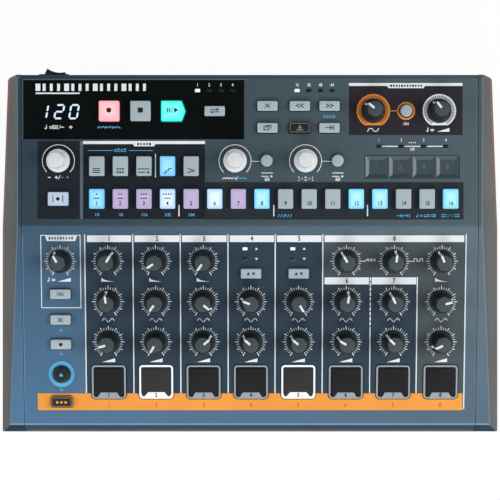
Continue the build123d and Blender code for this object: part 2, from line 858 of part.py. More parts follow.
rear_holes = [(Circle(jack_bushing_radius), x, socket_height) for x in jack_xs]
rear_holes += [(Circle(din_nose_radius), x, socket_height) for x in din_xs]
rear_holes += [(Rectangle(*usb_shell), usb_x, socket_height), (Circle(inlet_radius), power_inlet_x, socket_height)]
rear_holes.append((Rectangle(switch_body_width, switch_body_height), switch_x, switch_z))

# ---- power switch ----
bezel_face = rear_y + switch_bezel_proud
pivot_y = bezel_face - rocker_pivot_depth


def rocker_outline():
    # plan of the level rocker about its pivot
    low_x = sqrt(rocker_waist ** 2 - rocker_underside ** 2)
    low_y = -rocker_underside
    right = (rocker_corner_x, rocker_corner_rise)
    left = (-rocker_corner_x, rocker_corner_rise)
    dish = ThreePointArc(left, (0, rocker_corner_rise - rocker_dish), right)
    sides = Polyline(right, (rocker_waist, 0), (low_x, low_y), (-low_x, low_y), (-rocker_waist, 0), left)
    return make_face(dish.edges() + sides.edges())


def power_rocker():
    body = extrude(rocker_outline(), amount=rocker_height / 2, both=True)
    body += extrude(Circle(rocker_pin_radius), amount=rocker_height / 2 + rocker_pin_length, both=True)
    return Pos(switch_x, pivot_y, switch_z) * Rot(0, 0, -rocker_tilt) * body


def switch_housing():
    bezel = rearwards(RectangleRounded(switch_bezel_width, switch_bezel_height, switch_bezel_corner), switch_x, switch_z,
                      rear_y + seam_gap / 2, bezel_face)
    body = rearwards(Rectangle(switch_body_width, switch_body_height), switch_x, switch_z,
                     rear_y - switch_body_length, rear_y + seam_gap / 2)
    well_depth = (rocker_pivot_depth + rocker_underside + rocker_waist * sin(radians(rocker_tilt))
                  + rocker_side_clearance)
    well = rearwards(Rectangle(2 * (rocker_waist + rocker_side_clearance),
                               rocker_height + 2 * rocker_side_clearance), switch_x, switch_z,
                     bezel_face - well_depth, bezel_face)
    pin_hole = Pos(switch_x, pivot_y, switch_z) * extrude(
        Circle(rocker_pin_radius + running_clearance),
        amount=rocker_height / 2 + rocker_pin_length + running_clearance, both=True)
    return bezel + body - well - pin_hole


# ---- boards ----
def circuit_boards():
    upper_rows = (board_margin, upper_deck_length - upper_board_rear_margin)
    lower_rows = (-lower_deck_length + lower_board_front_margin, -board_margin)
    boards = []
    for deck, (front, rear) in ((upper, upper_rows), (lower, lower_rows)):
        boards.append(on(deck, 0, (front + rear) / 2) * block(2 * (seam_x - board_side_margin), rear - front,
                                                              -board_underside, -board_depth))
    switch_room = span((-seam_x, switch_x + switch_body_width / 2 + case_wall),
                       (rear_y - switch_body_length - switch_room_margin, rear_y), (0, rear_height))
    boards[0] -= switch_room
    boards.append(span(jack_board_x, jack_board_y, (jack_board_height, socket_floor)))
    return boards


# ---- feet and screws ----
def rubber_feet():
    return [Pos(x, y, 0) * post(foot_radius, 0, foot_height + foot_recess) for x in foot_xs for y in foot_ys]


def case_screw(x, y):
    head_bottom = foot_height + seam_gap
    tip = deck_height(y) - 2.5 * sheet
    return Pos(x, y, 0) * (post(screw_head_radius, head_bottom, head_bottom + screw_head_height)
                           + post(screw_radius, head_bottom, tip))


def cheek_screw(side, y):
    inner_face = case_half_width - case_wall
    screw = post(screw_head_radius, -screw_head_height, 0)
    screw += post(screw_radius, -screw_head_height, case_wall + cheek_screw_length)
    placed = sideways(screw, inner_face, y, foot_height + cheek_screw_height)
    return placed if side > 0 else mirror(placed, about=Plane.YZ)


# ---- write every node ----
os.makedirs("parts", exist_ok=True)

right_cheek = cheek()
whole_sheet = folded_sheet()
save("top_panel", top_panel(), *[panel_stud(x, y, whole_sheet) for x, y in stud_places()])
save("bottom_case", bottom_case())
save("right_end_cheek", right_cheek)
save("left_end_cheek", mirror(right_cheek, about=Plane.YZ))
save("display_window", display_window())
save("display_module", display_module())
save("touch_strip", touch_strip())
save("circuit_boards", *circuit_boards())
save("indicator_lights", *[on(deck, x, s) * light_pipe() for deck, x, s in lights])
save("pad_light_frames", *[on(lower, x, s) * pad_frame() for _, x, s in pads])
save("rear_sockets", switch_housing(), power_inlet(), usb_socket(), *[din_socket(x) for x in din_xs],
     *[jack(x) for x in jack_xs])
save("rubber_feet", *rubber_feet())
save("case_screws", *[case_screw(x, y) for x, y in stud_places()],
     *[cheek_screw(side, y) for side, y in cheek_screw_places()])
save("pots_and_switches", *[on(deck, x, s) * pot_body() for _, deck, x, s, _ in pots + encoders],
     *[on(deck, x, s) * tact_switch() for _, deck, x, s, _, _ in keys],
     *[on(lower, x, s) * pad_sensor() for _, x, s in pads])

for name, deck, x, s, angle in pots:
    turned = Rot(0, 0, -angle) * knob(knob_grip_radius, knob_taper, knob_height - knob_gap, True)
    save(name, on(deck, x, s, knob_gap) * turned, on(deck, x, s) * shaft())
for name, deck, x, s, angle in encoders:
    cap = knob(encoder_grip_radius, encoder_taper, encoder_height - knob_gap, False)
    save(name, on(deck, x, s, knob_gap) * cap, on(deck, x, s) * shaft())
for name, x, s in pads:
    save(name, on(lower, x, s) * pad())
for group in dict.fromkeys(entry[0] for entry in keys):
    save(group, *[on(deck, x, s) * key for name, deck, x, s, key, _ in keys if name == group])
save("power_rocker", power_rocker())

print("bend", round(bend_y, 3), round(bend_z, 3), "front", round(front_y, 3), "rear", round(rear_y, 3))
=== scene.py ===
import json
import math

import bmesh
import bpy
from mathutils import Matrix, Vector


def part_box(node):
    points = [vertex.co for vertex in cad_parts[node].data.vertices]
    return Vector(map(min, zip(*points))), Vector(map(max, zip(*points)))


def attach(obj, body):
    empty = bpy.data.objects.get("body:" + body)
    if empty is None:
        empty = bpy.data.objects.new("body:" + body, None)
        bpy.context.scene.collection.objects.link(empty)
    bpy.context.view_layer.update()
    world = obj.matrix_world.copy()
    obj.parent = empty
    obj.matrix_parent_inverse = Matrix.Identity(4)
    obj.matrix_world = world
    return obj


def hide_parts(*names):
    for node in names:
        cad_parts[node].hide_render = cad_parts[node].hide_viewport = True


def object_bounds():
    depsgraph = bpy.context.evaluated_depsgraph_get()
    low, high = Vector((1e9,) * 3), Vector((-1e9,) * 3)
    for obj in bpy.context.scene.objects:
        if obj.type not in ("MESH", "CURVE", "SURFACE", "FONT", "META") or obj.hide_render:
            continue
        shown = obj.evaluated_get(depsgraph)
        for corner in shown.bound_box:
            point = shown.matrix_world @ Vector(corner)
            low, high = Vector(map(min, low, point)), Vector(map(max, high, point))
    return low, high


# Looks for a tabletop drum machine: painted sheet, printing, knobs, pads, keys, sockets.
# Every shape is drawn in millimetres on one of its decks and placed in the frame's metres.
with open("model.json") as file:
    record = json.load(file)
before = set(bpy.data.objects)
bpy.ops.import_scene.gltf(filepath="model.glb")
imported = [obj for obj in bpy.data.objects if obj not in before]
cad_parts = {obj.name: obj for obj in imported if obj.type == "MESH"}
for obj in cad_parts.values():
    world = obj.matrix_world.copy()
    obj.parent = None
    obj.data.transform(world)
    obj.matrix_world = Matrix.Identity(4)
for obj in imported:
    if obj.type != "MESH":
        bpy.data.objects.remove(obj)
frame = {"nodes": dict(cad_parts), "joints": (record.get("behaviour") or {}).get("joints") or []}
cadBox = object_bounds()
scene = bpy.context.scene
joints = {joint["name"]: joint for joint in frame["joints"]}
mm = 0.001


def deckPlane(knob):
    joint = joints[knob + "_turn"]
    return Vector(joint["pos_m"]), Vector(joint["axis"]).normalized()


def makeDecks():
    # the two decks meet at the bend: the point in both planes, halfway across the machine
    (upperSpot, upperUp), (lowerSpot, lowerUp) = deckPlane("output_volume_knob"), deckPlane("metronome_knob")
    rows = Matrix((upperUp.yz, lowerUp.yz))
    bend = rows.inverted() @ Vector((upperUp.dot(upperSpot), lowerUp.dot(lowerSpot)))
    made = {}
    for name, up in (("upper", upperUp), ("lower", lowerUp)):
        right = Vector((1, 0, 0))
        turn = Matrix((right, up.cross(right), up)).transposed().to_4x4()
        made[name] = Matrix.Translation((0, bend[0], bend[1])) @ turn @ Matrix.Scale(mm, 4)
    return made


decks = makeDecks()
world = decks["base"] = Matrix.Scale(mm, 4)
wallSpot = (0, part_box("bottom_case")[1].y, 0)
decks["rear"] = Matrix.Translation(wallSpot) @ Matrix(((-1, 0, 0), (0, 0, 1), (0, 1, 0))).to_4x4() @ world


def on(deck, x, s, n=0.0, clockwise=0.0):
    # a place on a deck: s runs back from the bend, n out of the deck
    return decks[deck] @ Matrix.Translation((x, s, n)) @ Matrix.Rotation(-math.radians(clockwise), 4, "Z")


def knobPlace(name):
    joint = joints[name + "_turn"]
    deck = "upper" if Vector(joint["axis"]).y > -0.1 else "lower"
    spot = decks[deck].inverted() @ Vector(joint["pos_m"])
    lowest = joint.get("range_deg")
    return deck, spot.x, spot.y, (150 + lowest[0] if lowest else 0)


def frontFold():
    # where the lower deck ends and the panel's flange turns down
    spots = [decks["lower"].inverted() @ vert.co for vert in frame["nodes"]["top_panel"].data.vertices]
    return (decks["lower"] @ Vector((0, min(spot.y for spot in spots if abs(spot.z) < 0.03), 0))).y


def camel(node):
    first, *rest = node.split("_")
    return first + "".join(word.capitalize() for word in rest)


# shapes, in millimetres
def vertsIn(geom):
    return [item for item in geom if isinstance(item, bmesh.types.BMVert)]


def merged(shape, reach=1e-4):
    bmesh.ops.remove_doubles(shape, verts=shape.verts, dist=reach)
    return shape


def outward(shape):
    # turns every face's front to the outside
    bmesh.ops.recalc_face_normals(shape, faces=shape.faces[:])
    return shape


def bevelled(shape, geom, offset, steps, affect="EDGES"):
    bmesh.ops.bevel(shape, geom=geom, offset=offset, offset_type="OFFSET", segments=steps, profile=0.5,
                    affect=affect, material=-1, clamp_overlap=True)


def roundCorners(shape, verts, radius, steps=4):
    bevelled(shape, verts, radius, steps, "VERTICES")


def raised(shape, bottom, top, edge=0.0, edgeSteps=2, narrow=1.0):
    # a flat outline made a solid; narrow scales its top, edge rounds the top's rim
    bmesh.ops.translate(shape, verts=shape.verts, vec=(0, 0, bottom))
    upper = vertsIn(bmesh.ops.extrude_face_region(shape, geom=shape.faces[:])["geom"])
    bmesh.ops.translate(shape, verts=upper, vec=(0, 0, top - bottom))
    if narrow != 1.0:
        bmesh.ops.scale(shape, verts=upper, vec=(narrow, narrow, 1))
    if edge:
        rim = [line for line in shape.edges if all(vert in upper for vert in line.verts)
               and len(line.link_faces) == 2
               and abs(line.link_faces[0].normal.dot(line.link_faces[1].normal)) < 0.99]
        bevelled(shape, rim, edge, edgeSteps)
    return outward(shape)


def rectangle(width, length, corner=0.0, cornerSteps=4):
    shape = bmesh.new()
    bmesh.ops.create_grid(shape, x_segments=1, y_segments=1, size=0.5)
    bmesh.ops.scale(shape, verts=shape.verts, vec=(width, length, 1))
    if corner:
        roundCorners(shape, shape.verts[:], corner, cornerSteps)
    return shape


def plate(width, length, bottom, top, corner=0.0, edge=0.0, edgeSteps=2, cornerSteps=4):
    return raised(rectangle(width, length, corner, cornerSteps), bottom, top, edge, edgeSteps)


def hollowed(shape, pen):
    # leaves a rim as wide as the pen
    bmesh.ops.inset_region(shape, faces=shape.faces[:], thickness=pen, use_even_offset=True,
                           use_boundary=True)
    middle = max(shape.faces, key=lambda face: len(face.verts))
    bmesh.ops.delete(shape, geom=[middle], context="FACES_ONLY")
    return shape


def border(width, length, corner, pen, bottom, top):
    return raised(hollowed(rectangle(width, length, corner), pen), bottom, top)


def outline(points):
    shape = bmesh.new()
    shape.faces.new([shape.verts.new((x, y, 0)) for x, y in points])
    return shape


def disc(radius, bottom, top, edge=0.0, steps=32):
    shape = bmesh.new()
    bmesh.ops.create_circle(shape, cap_ends=True, radius=radius, segments=steps)
    return raised(shape, bottom, top, edge)


def turned(profile, steps=48):
    # profile of (radius, height), from axis to axis, spun all the way round
    shape = bmesh.new()
    verts = [shape.verts.new((radius, 0, height)) for radius, height in profile]
    lines = [shape.edges.new(pair) for pair in zip(verts, verts[1:])]
    bmesh.ops.spin(shape, geom=verts + lines, cent=(0, 0, 0), axis=(0, 0, 1), angle=2 * math.pi, steps=steps,
                   use_merge=True, use_duplicate=False)
    return outward(merged(shape))


def arc(inner, outer, bottom, top, start=0.0, sweep=360.0, steps=48):
    # part of a flat ring; start and sweep run clockwise from straight back
    shape = bmesh.new()
    corners = ((inner, bottom), (outer, bottom), (outer, top), (inner, top))
    section = [shape.verts.new((0, radius, height)) for radius, height in corners]
    whole = sweep >= 360
    geom = section + [shape.edges.new((a, b)) for a, b in zip(section, section[1:] + section[:1])]
    if not whole:
        geom.append(shape.faces.new(section))
    turn = Matrix.Rotation(-math.radians(start), 3, "Z")
    bmesh.ops.rotate(shape, verts=section, cent=(0, 0, 0), matrix=turn)
    bmesh.ops.spin(shape, geom=geom, cent=(0, 0, 0), axis=(0, 0, -1), angle=math.radians(sweep), steps=steps,
                   use_merge=whole, use_duplicate=False)
    return outward(shape if whole else merged(shape))


def moved(shape, x=0.0, y=0.0, z=0.0, turn=0.0):
    shape.transform(Matrix.Translation((x, y, z)) @ Matrix.Rotation(-math.radians(turn), 4, "Z"))
    return shape


def along(start, end, shape):
    # lays a shape drawn along X between two points
    run = Vector(end) - Vector(start)
    middle = ((start[0] + end[0]) / 2, (start[1] + end[1]) / 2)
    return moved(shape, *middle, 0, -math.degrees(math.atan2(run.y, run.x)))


def bar(start, end, pen, bottom, top):
    return along(start, end, plate(math.dist(start, end) + pen, pen, bottom, top))


def add(target, shape, place=None, material=0):
    # moves a shape into a bigger one
    if place is not None:
        shape.transform(place)
    if material:
        for face in shape.faces:
            face.material_index = material
    carrier = bpy.data.meshes.new("carrier")
    shape.to_mesh(carrier)
    shape.free()
    target.from_mesh(carrier)
    bpy.data.meshes.remove(carrier)


def mergedCopy(node, reach=2e-6):
    # a CAD node's mesh with its loose triangles joined
    shape = bmesh.new()
    shape.from_mesh(frame["nodes"][node].data)
    return outward(merged(shape, reach))


def figures(words, height, bottom, top, bold=0.02, squeeze=0.82):
    curve = bpy.data.curves.new("figures", "FONT")
    curve.body, curve.align_x, curve.align_y = words, "CENTER", "CENTER"
    curve.size, curve.extrude, curve.offset, curve.resolution_u = height / 0.7, (top - bottom) / 2, bold, 2
    holder = bpy.data.objects.new("figures", curve)
    mesh = bpy.data.meshes.new_from_object(holder)
    shape = bmesh.new()
    shape.from_mesh(mesh)
    bpy.data.objects.remove(holder)
    bpy.data.curves.remove(curve)
    bpy.data.meshes.remove(mesh)
    merged(shape).transform(Matrix.Diagonal((squeeze, 1, 1, 1)))
    return moved(shape, z=(bottom + top) / 2)


# plain signs, drawn one unit high: filled outlines, pen lines and dots (x, y, radius)
signFills = {
    "decay": [[(-1.7, -0.5), (1.7, -0.5), (0.2, -0.32), (-0.9, 0.0), (-1.7, 0.5)]],
    "level": [[(-1.7, -0.5), (1.7, -0.5), (1.7, 0.5)]],
    "up": [[(-0.55, -0.35), (0.55, -0.35), (0, 0.5)]],
    "down": [[(-0.55, 0.35), (0, -0.5), (0.55, 0.35)]],
    "either": [[(-1.0, -0.3), (-0.2, -0.3), (-0.6, 0.4)], [(0.2, 0.3), (0.6, -0.4), (1.0, 0.3)]]}
signLines = {
    "wave": [[(x / 6 - 1.5, 0.42 * math.sin(x * math.pi / 6)) for x in range(19)]],
    "saw": [[(-1.6, -0.4), (-0.55, 0.4), (-0.55, -0.4), (0.5, 0.4), (0.5, -0.4), (1.55, 0.4), (1.55, -0.4)]],
    "pulse": [[(-1.6, -0.4), (-1.1, -0.4), (-1.1, 0.4), (-0.2, 0.4), (-0.2, -0.4), (0.7, -0.4), (0.7, 0.4),
               (1.5, 0.4), (1.5, -0.4)]],
    "clipped": [[(-1.6, -0.4), (-1.2, 0.4), (-0.4, 0.4), (0.2, -0.4), (1.0, -0.4), (1.5, 0.4)]],
    "back": [[(x + 0.7, 0.4), (x, 0), (x + 0.7, -0.4)] for x in (-0.8, 0.1)],
    "forward": [[(x - 0.7, 0.4), (x, 0), (x - 0.7, -0.4)] for x in (0.8, -0.1)],
    "cross": [[(-0.5, -0.4), (0.5, 0.4)], [(-0.5, 0.4), (0.5, -0.4)]],
    "double": [[(-0.8, -0.5), (0.3, -0.5), (0.3, 0.2), (-0.8, 0.2), (-0.8, -0.5)],
               [(-0.3, 0.5), (0.8, 0.5), (0.8, -0.2)]],
    "into": [[(0, 0.5), (0, -0.15)], [(-0.35, 0.1), (0, -0.25), (0.35, 0.1)], [(-0.7, -0.5), (0.7, -0.5)]],
    "end": [[(-0.9, 0), (0.5, 0)], [(0.1, 0.4), (0.55, 0), (0.1, -0.4)], [(0.95, 0.5), (0.95, -0.5)]],
    "swap": [[(-0.9, 0.25), (0.9, 0.25)], [(0.5, 0.5), (0.9, 0.25)], [(-0.9, -0.25), (0.9, -0.25)],
             [(-0.5, -0.5), (-0.9, -0.25)]],
    "tap": [[(x, -0.5), (x, 0.5)] for x in (-0.8, 0.8)],
    "plusMinus": [[(-1.7, 0), (-0.9, 0)], [(0.9, 0), (1.7, 0)], [(1.3, 0.4), (1.3, -0.4)]],
    "swing": [[(-1.5, -0.3), (-1.0, 0.3), (-0.2, -0.3), (0.3, 0.3), (1.5, -0.3)]],
    "track": [[(-1.1, 0.35), (1.1, 0.35)], [(-1.1, -0.35), (0.2, -0.35)]],
    "note": [[(-0.8, -0.3), (-0.8, 0.5)], [(0.0, 0.12), (0.7, 0.12)], [(0.0, -0.22), (0.7, -0.22)]],
    "loop": [[(0.7, 0.3), (-0.7, 0.3), (-0.7, -0.3), (0.7, -0.3)], [(0.35, 0.55), (0.7, 0.3), (0.35, 0.05)]],
    "rows": [[(-0.7, y), (0.7, y)] for y in (0.4, 0, -0.4)],
    "accent": [[(-0.6, 0.45), (0.6, 0), (-0.6, -0.45)]],
    "step": [[(-0.8, -0.45), (-0.3, -0.45), (-0.3, 0), (0.3, 0), (0.3, 0.45), (0.8, 0.45)]],
    "roll": [[(x, -0.4), (x + 0.4, 0.4)] for x in (-1.3, -0.4, 0.5)]}
signDots = {
    "tap": [(0, 0, 0.3)], "dot": [(0, 0, 0.42)], "track": [(0.9, -0.35, 0.22)], "note": [(-1.0, -0.3, 0.24)],
    "dice": [(x, y, 0.16) for x, y in ((-0.8, -0.35), (-0.8, 0.35), (0, 0), (0.8, -0.35), (0.8, 0.35))],
    "beats": [(x, 0, 0.3) for x in (-1.5, -0.5, 0.5, 1.5)],
    "grid": [(x * 0.55, y * 0.55, 0.2) for x in (-1, 0, 1) for y in (-0.6, 0.6)]}


def sign(name, height, bottom, top, pen=0.0):
    whole = bmesh.new()
    for points in signFills.get(name, ()):
        add(whole, raised(outline([(x * height, y * height) for x, y in points]), bottom, top))
    for points in signLines.get(name, ()):
        scaled = [(x * height, y * height) for x, y in points]
        for start, end in zip(scaled, scaled[1:]):
            add(whole, bar(start, end, pen or 0.2 * height, bottom, top))
    for x, y, radius in signDots.get(name, ()):
        add(whole, moved(disc(radius * height, bottom, top, steps=16), x * height, y * height))
    return whole


# finishes
def tone(red, green, blue):
    # display values from 0 to 255 as a linear colour
    linear = [value / 12.92 if value <= 0.04045 else ((value + 0.055) / 1.055) ** 2.4
              for value in (red / 255, green / 255, blue / 255)]
    return (*linear, 1.0)


def feed(tree, value, socket):
    # a socket takes another node's output or a plain value
    if isinstance(value, bpy.types.NodeSocket):
        tree.links.new(value, socket)
    else:
        socket.default_value = value


def built(tree, kind, values, **settings):
    # a shader node; values go to its sockets by label or by number
    node = tree.nodes.new("ShaderNode" + kind)
    for label, setting in settings.items():
        setattr(node, label, setting)
    for label, value in values.items():
        feed(tree, value, node.inputs[label])
    return node.outputs


def coordinates(tree, kind="Object"):
    return built(tree, "TexCoord", {})[kind]


def axes(tree, kind="Object"):
    return list(built(tree, "SeparateXYZ", {"Vector": coordinates(tree, kind)}))


def mixColors(tree, factor, first, second):
    # sockets 6 and 7 and the third result are the ones for colours
    return built(tree, "Mix", {"Factor": factor, 6: first, 7: second}, data_type="RGBA")[2]


def mapped(tree, value, low, high, toLow=0, toHigh=1, smooth=False):
    values = {"Value": value, "From Min": low, "From Max": high, "To Min": toLow, "To Max": toHigh}
    return built(tree, "MapRange", values, interpolation_type="SMOOTHSTEP" if smooth else "LINEAR")["Result"]


def reckoned(tree, operation, *values, clamped=False):
    return built(tree, "Math", dict(enumerate(values)), operation=operation, use_clamp=clamped)["Value"]


def noise(tree, scale, detail=2.0):
    return built(tree, "TexNoise", {"Vector": coordinates(tree), "Scale": scale, "Detail": detail})["Fac"]


def newGroup(name, inputs, outputs):
    group = bpy.data.node_groups.new(name, "ShaderNodeTree")
    for label, value in inputs.items():
        kind = "NodeSocketColor" if isinstance(value, tuple) else "NodeSocketFloat"
        group.interface.new_socket(name=label, in_out="INPUT", socket_type=kind).default_value = value
    for label, kind in outputs.items():
        group.interface.new_socket(name=label, in_out="OUTPUT", socket_type="NodeSocket" + kind)
    return group, group.nodes.new("NodeGroupInput").outputs, group.nodes.new("NodeGroupOutput").inputs


def buildSurface():
    # tone that drifts slowly, a fine grain, and a roughness that follows both
    group, given, made = newGroup(
        "surfaceGrain", {"Light Tone": (0.5, 0.5, 0.5, 1), "Dark Tone": (0.4, 0.4, 0.4, 1), "Drift Scale": 25,
                         "Grain Scale": 1500, "Smoothest": 0.4, "Roughest": 0.5},
        {"Color": "Color", "Roughness": "Float", "Height": "Float"})
    drift = noise(group, given["Drift Scale"])
    grain = noise(group, given["Grain Scale"], 3.0)
    blend = reckoned(group, "MULTIPLY_ADD", grain, 0.35, mapped(group, drift, 0.3, 0.7, 0, 0.65))
    feed(group, mixColors(group, blend, given["Light Tone"], given["Dark Tone"]), made["Color"])
    feed(group, mapped(group, blend, 0, 1, given["Smoothest"], given["Roughest"]), made["Roughness"])
    feed(group, grain, made["Height"])
    return group


def buildLitCap():
    # light from under a cap: palest over the lamp, deeper towards the rim
    group, given, made = newGroup("litCap", {"Core": (1, 1, 1, 1), "Rim": (0.4, 0.7, 1, 1)},
                                  {"Color": "Color"})
    spread = mapped(group, built(group, "Attribute", {}, attribute_name="glow")["Fac"], 0, 1, smooth=True)
    feed(group, mixColors(group, spread, given["Rim"], given["Core"]), made["Color"])
    return group


surfaceGrain = buildSurface()
litCap = buildLitCap()
finishes = {}


def finish(name, light, dark=None, rough=(0.42, 0.55), grain=1500, bump=0.012, metal=0.0, specular=0.5,
           coat=0.0, drift=25, dim=1.0, glow=None, power=0.0):
    # light and dark are display values; glow is a core and a rim colour, over a body that dim darkens
    material = bpy.data.materials.new(name)
    material.use_nodes = True
    tree = material.node_tree
    sockets = tree.nodes["Principled BSDF"].inputs
    pale = tuple(dim * part for part in tone(*light)[:3]) + (1.0,)
    deep = tone(*dark) if dark else tuple(0.86 * part for part in pale[:3]) + (1.0,)
    values = {"Light Tone": pale, "Dark Tone": deep, "Drift Scale": drift, "Grain Scale": grain,
              "Smoothest": rough[0], "Roughest": rough[1]}
    surface = built(tree, "Group", values, node_tree=surfaceGrain)
    relief = built(tree, "Bump", {"Strength": 1.0, "Distance": bump * mm, "Height": surface["Height"]})
    for label, value in (("Base Color", surface["Color"]), ("Roughness", surface["Roughness"]),
                         ("Normal", relief["Normal"]), ("Metallic", metal),
                         ("Specular IOR Level", specular), ("Coat Weight", coat)):
        feed(tree, value, sockets[label])
    if glow:
        lamp = built(tree, "Group", {"Core": tone(*glow[0]), "Rim": tone(*glow[1])}, node_tree=litCap)
        feed(tree, lamp["Color"], sockets["Emission Color"])
        sockets["Emission Strength"].default_value = power
    finishes[name] = material
    return tree, sockets


def panelPaint():
    # satin slate paintwork with painted reflection: grey-blue behind the bend, bluer in front of it, greyer
    # towards the right; a painted highlight along the front fold and painted shade on the flange below it
    look = {"rear": ((52, 68, 80), (80, 95, 101)), "bend": ((66, 93, 116), (98, 115, 124)),
            "front": ((81, 119, 153), (85, 106, 123)), "edge": (117, 153, 181), "flange": (22, 48, 68),
            "speckle": (40, 52, 60), "speckleScale": 900, "speckleShare": 0.08, "side": 0.14}
    tree, sockets = finish("paint", (60, 75, 85), rough=(0.46, 0.56), grain=2200, bump=0.01, specular=0.15)
    x, y, _ = axes(tree)
    across = mapped(tree, x, -look["side"], look["side"])
    # painted reflection: the tone changes across the machine and from behind the bend to the front
    rear, bend, front = [mixColors(tree, across, tone(*look[place][0]), tone(*look[place][1]))
                         for place in ("rear", "bend", "front")]
    bendAt, foldAt = decks["upper"].translation.y, frontFold()
    forward = mapped(tree, y, bendAt, cadBox[0].y + 0.01)
    base = mixColors(tree, mapped(tree, y, bendAt + 0.001, bendAt - 0.001), rear,
                     mixColors(tree, forward, bend, front))
    # painted highlight: a paler line along the front fold
    base = mixColors(tree, mapped(tree, y, foldAt + 0.0007, foldAt + 0.0003), base, tone(*look["edge"]))
    # painted shade: the flange below the fold is darker
    base = mixColors(tree, mapped(tree, y, foldAt - 0.0003, foldAt - 0.0008), base, tone(*look["flange"]))
    speckle = mapped(tree, noise(tree, look["speckleScale"], 3.0), 0.35, 0.65, 0, look["speckleShare"])
    feed(tree, mixColors(tree, speckle, base, tone(*look["speckle"])), sockets["Base Color"])


def cheekPlastic():
    # grey plastic; the outer side is warm brown and shows as a thin line along the bevel's outer edge
    look = {"warm": (136, 92, 64), "half": 158.0, "narrowing": 5.0, "rear": 107.8, "line": (0.3, 1.9),
            "soft": 0.12}
    tree, sockets = finish("cheek", (89, 92, 93), (80, 82, 82), rough=(0.5, 0.62), grain=1600, bump=0.02,
                           specular=0.25)
    x, y, _ = axes(tree)
    rear, half, soft = look["rear"] * mm, look["half"] * mm, look["soft"] * mm
    narrowing = mapped(tree, y, decks["upper"].translation.y, rear, 0, look["narrowing"] * mm)
    line = mapped(tree, y, cadBox[0].y, rear, *(value * mm for value in look["line"]))
    outward = reckoned(tree, "ADD", reckoned(tree, "ABSOLUTE", x), narrowing)
    mask = mapped(tree, reckoned(tree, "ADD", outward, line), half - soft, half + soft)
    plain = sockets["Base Color"].links[0].from_socket
    feed(tree, mixColors(tree, mask, plain, tone(*look["warm"])), sockets["Base Color"])


panelPaint()
cheekPlastic()
finish("case", (76, 84, 90), rough=(0.5, 0.65), grain=1800, bump=0.02)
# a paler tone for the cheeks' narrow bevelled ridges: a painted highlight
finish("ridge", (112, 128, 138), (104, 120, 130), rough=(0.4, 0.5), bump=0.004, specular=0.3)
finish("window", (13, 17, 16), (10, 14, 13), rough=(0.06, 0.1), grain=300, bump=0.0008, specular=0.35)
finish("dark", (24, 26, 28), grain=1700)
finish("knob", (27, 33, 37), (22, 27, 31), rough=(0.45, 0.55), grain=1900, bump=0.01, specular=0.2)
# the black knob's top and skirt get paler, bluer tones than its flanks: painted light on one black plastic
finish("knobTop", (66, 77, 82), (59, 70, 75), rough=(0.4, 0.5), grain=1900, bump=0.006, specular=0.3)
finish("knobSkirt", (28, 43, 51), (24, 38, 45), rough=(0.42, 0.52), grain=1900, bump=0.008, specular=0.25)
finish("white", (226, 228, 228), (214, 217, 218), rough=(0.38, 0.48), grain=1900, bump=0.008)
finish("pointer", (232, 236, 238), rough=(0.4, 0.5), bump=0.002)
finish("pad", (27, 27, 29), (23, 23, 25), rough=(0.6, 0.75), grain=1300, bump=0.02, specular=0.2)
finish("padLitUp", (50, 50, 52), (44, 44, 46), rough=(0.6, 0.75), grain=1300, bump=0.02, specular=0.2)
finish("padFrame", (160, 168, 173), (152, 160, 165), rough=(0.35, 0.45), bump=0.004, specular=0.3)
finish("keyGrey", (172, 186, 193), (163, 177, 185), rough=(0.5, 0.6), bump=0.006, specular=0.25)
finish("keyBlack", (20, 22, 24), rough=(0.45, 0.55), bump=0.006)
finish("ink", (26, 32, 40), rough=(0.5, 0.6), bump=0.001, specular=0.2)
finish("inkRed", (74, 20, 26), rough=(0.5, 0.6), bump=0.001, specular=0.2)
finish("inkPale", (150, 150, 146), rough=(0.5, 0.6), bump=0.001)
finish("gap", (12, 15, 18), rough=(0.6, 0.7), bump=0.001, specular=0.1)
finish("rim", (126, 128, 118), rough=(0.5, 0.6), bump=0.001)
finish("steel", (150, 152, 155), rough=(0.28, 0.4), grain=900, bump=0.004, metal=1.0)
finish("nickel", (190, 188, 184), rough=(0.16, 0.26), grain=700, bump=0.002, metal=1.0)
finish("rubber", (30, 30, 31), rough=(0.7, 0.85), grain=1200, bump=0.03)
finish("board", (32, 84, 58), (24, 70, 48), rough=(0.3, 0.45), drift=60)
finish("parts", (48, 62, 66), rough=(0.4, 0.5))
finish("strip", (62, 76, 83), (56, 70, 77), rough=(0.28, 0.36), grain=1900, bump=0.004)
finish("stripFloor", (63, 77, 86), (57, 71, 79), rough=(0.36, 0.46), grain=1900, bump=0.006, specular=0.3)
finish("lensOff", (31, 39, 45), rough=(0.2, 0.3), bump=0.001, coat=0.3)

# what shines: core, rim, power and how pale the body is
shining = {"litWhite": ((250, 248, 255), (225, 225, 240), 0.9, 0.25),
           "litRecord": ((250, 198, 202), (250, 164, 172), 0.9, 0.25),
           "litPlay": ((120, 255, 242), (30, 240, 225), 0.9, 0.25),
           "litBlue": ((158, 222, 250), (88, 186, 248), 0.9, 0.25),
           "litPale": ((225, 240, 255), (150, 200, 250), 0.9, 0.25),
           "litCyan": ((176, 236, 252), (96, 200, 250), 0.9, 0.25),
           "litLilac": ((200, 184, 222), (178, 160, 210), 0.55, 0.45),
           "litTap": ((200, 216, 238), (178, 198, 226), 0.5, 0.45),
           "litPad": ((250, 252, 255), (235, 240, 248), 0.95, 0.25),
           "digit": ((226, 240, 255), (200, 225, 255), 1.0, 0.25)}
for name, (core, rim, power, body) in shining.items():
    finish(name, core, dim=body, rough=(0.5, 0.6), bump=0.003, glow=(core, rim), power=power)

# the gap round a lit key takes its glow
for name, shade in (("haloBlue", (16, 74, 150)), ("haloRed", (96, 26, 34)), ("haloPlay", (10, 120, 100))):
    finish(name, shade, rough=(0.6, 0.7), bump=0.001, specular=0.1, glow=(shade, shade), power=0.35)
halos = {"litBlue": "haloBlue", "litPale": "haloBlue", "litCyan": "haloBlue", "litRecord": "haloRed",
         "litPlay": "haloPlay", "litTap": "haloBlue"}
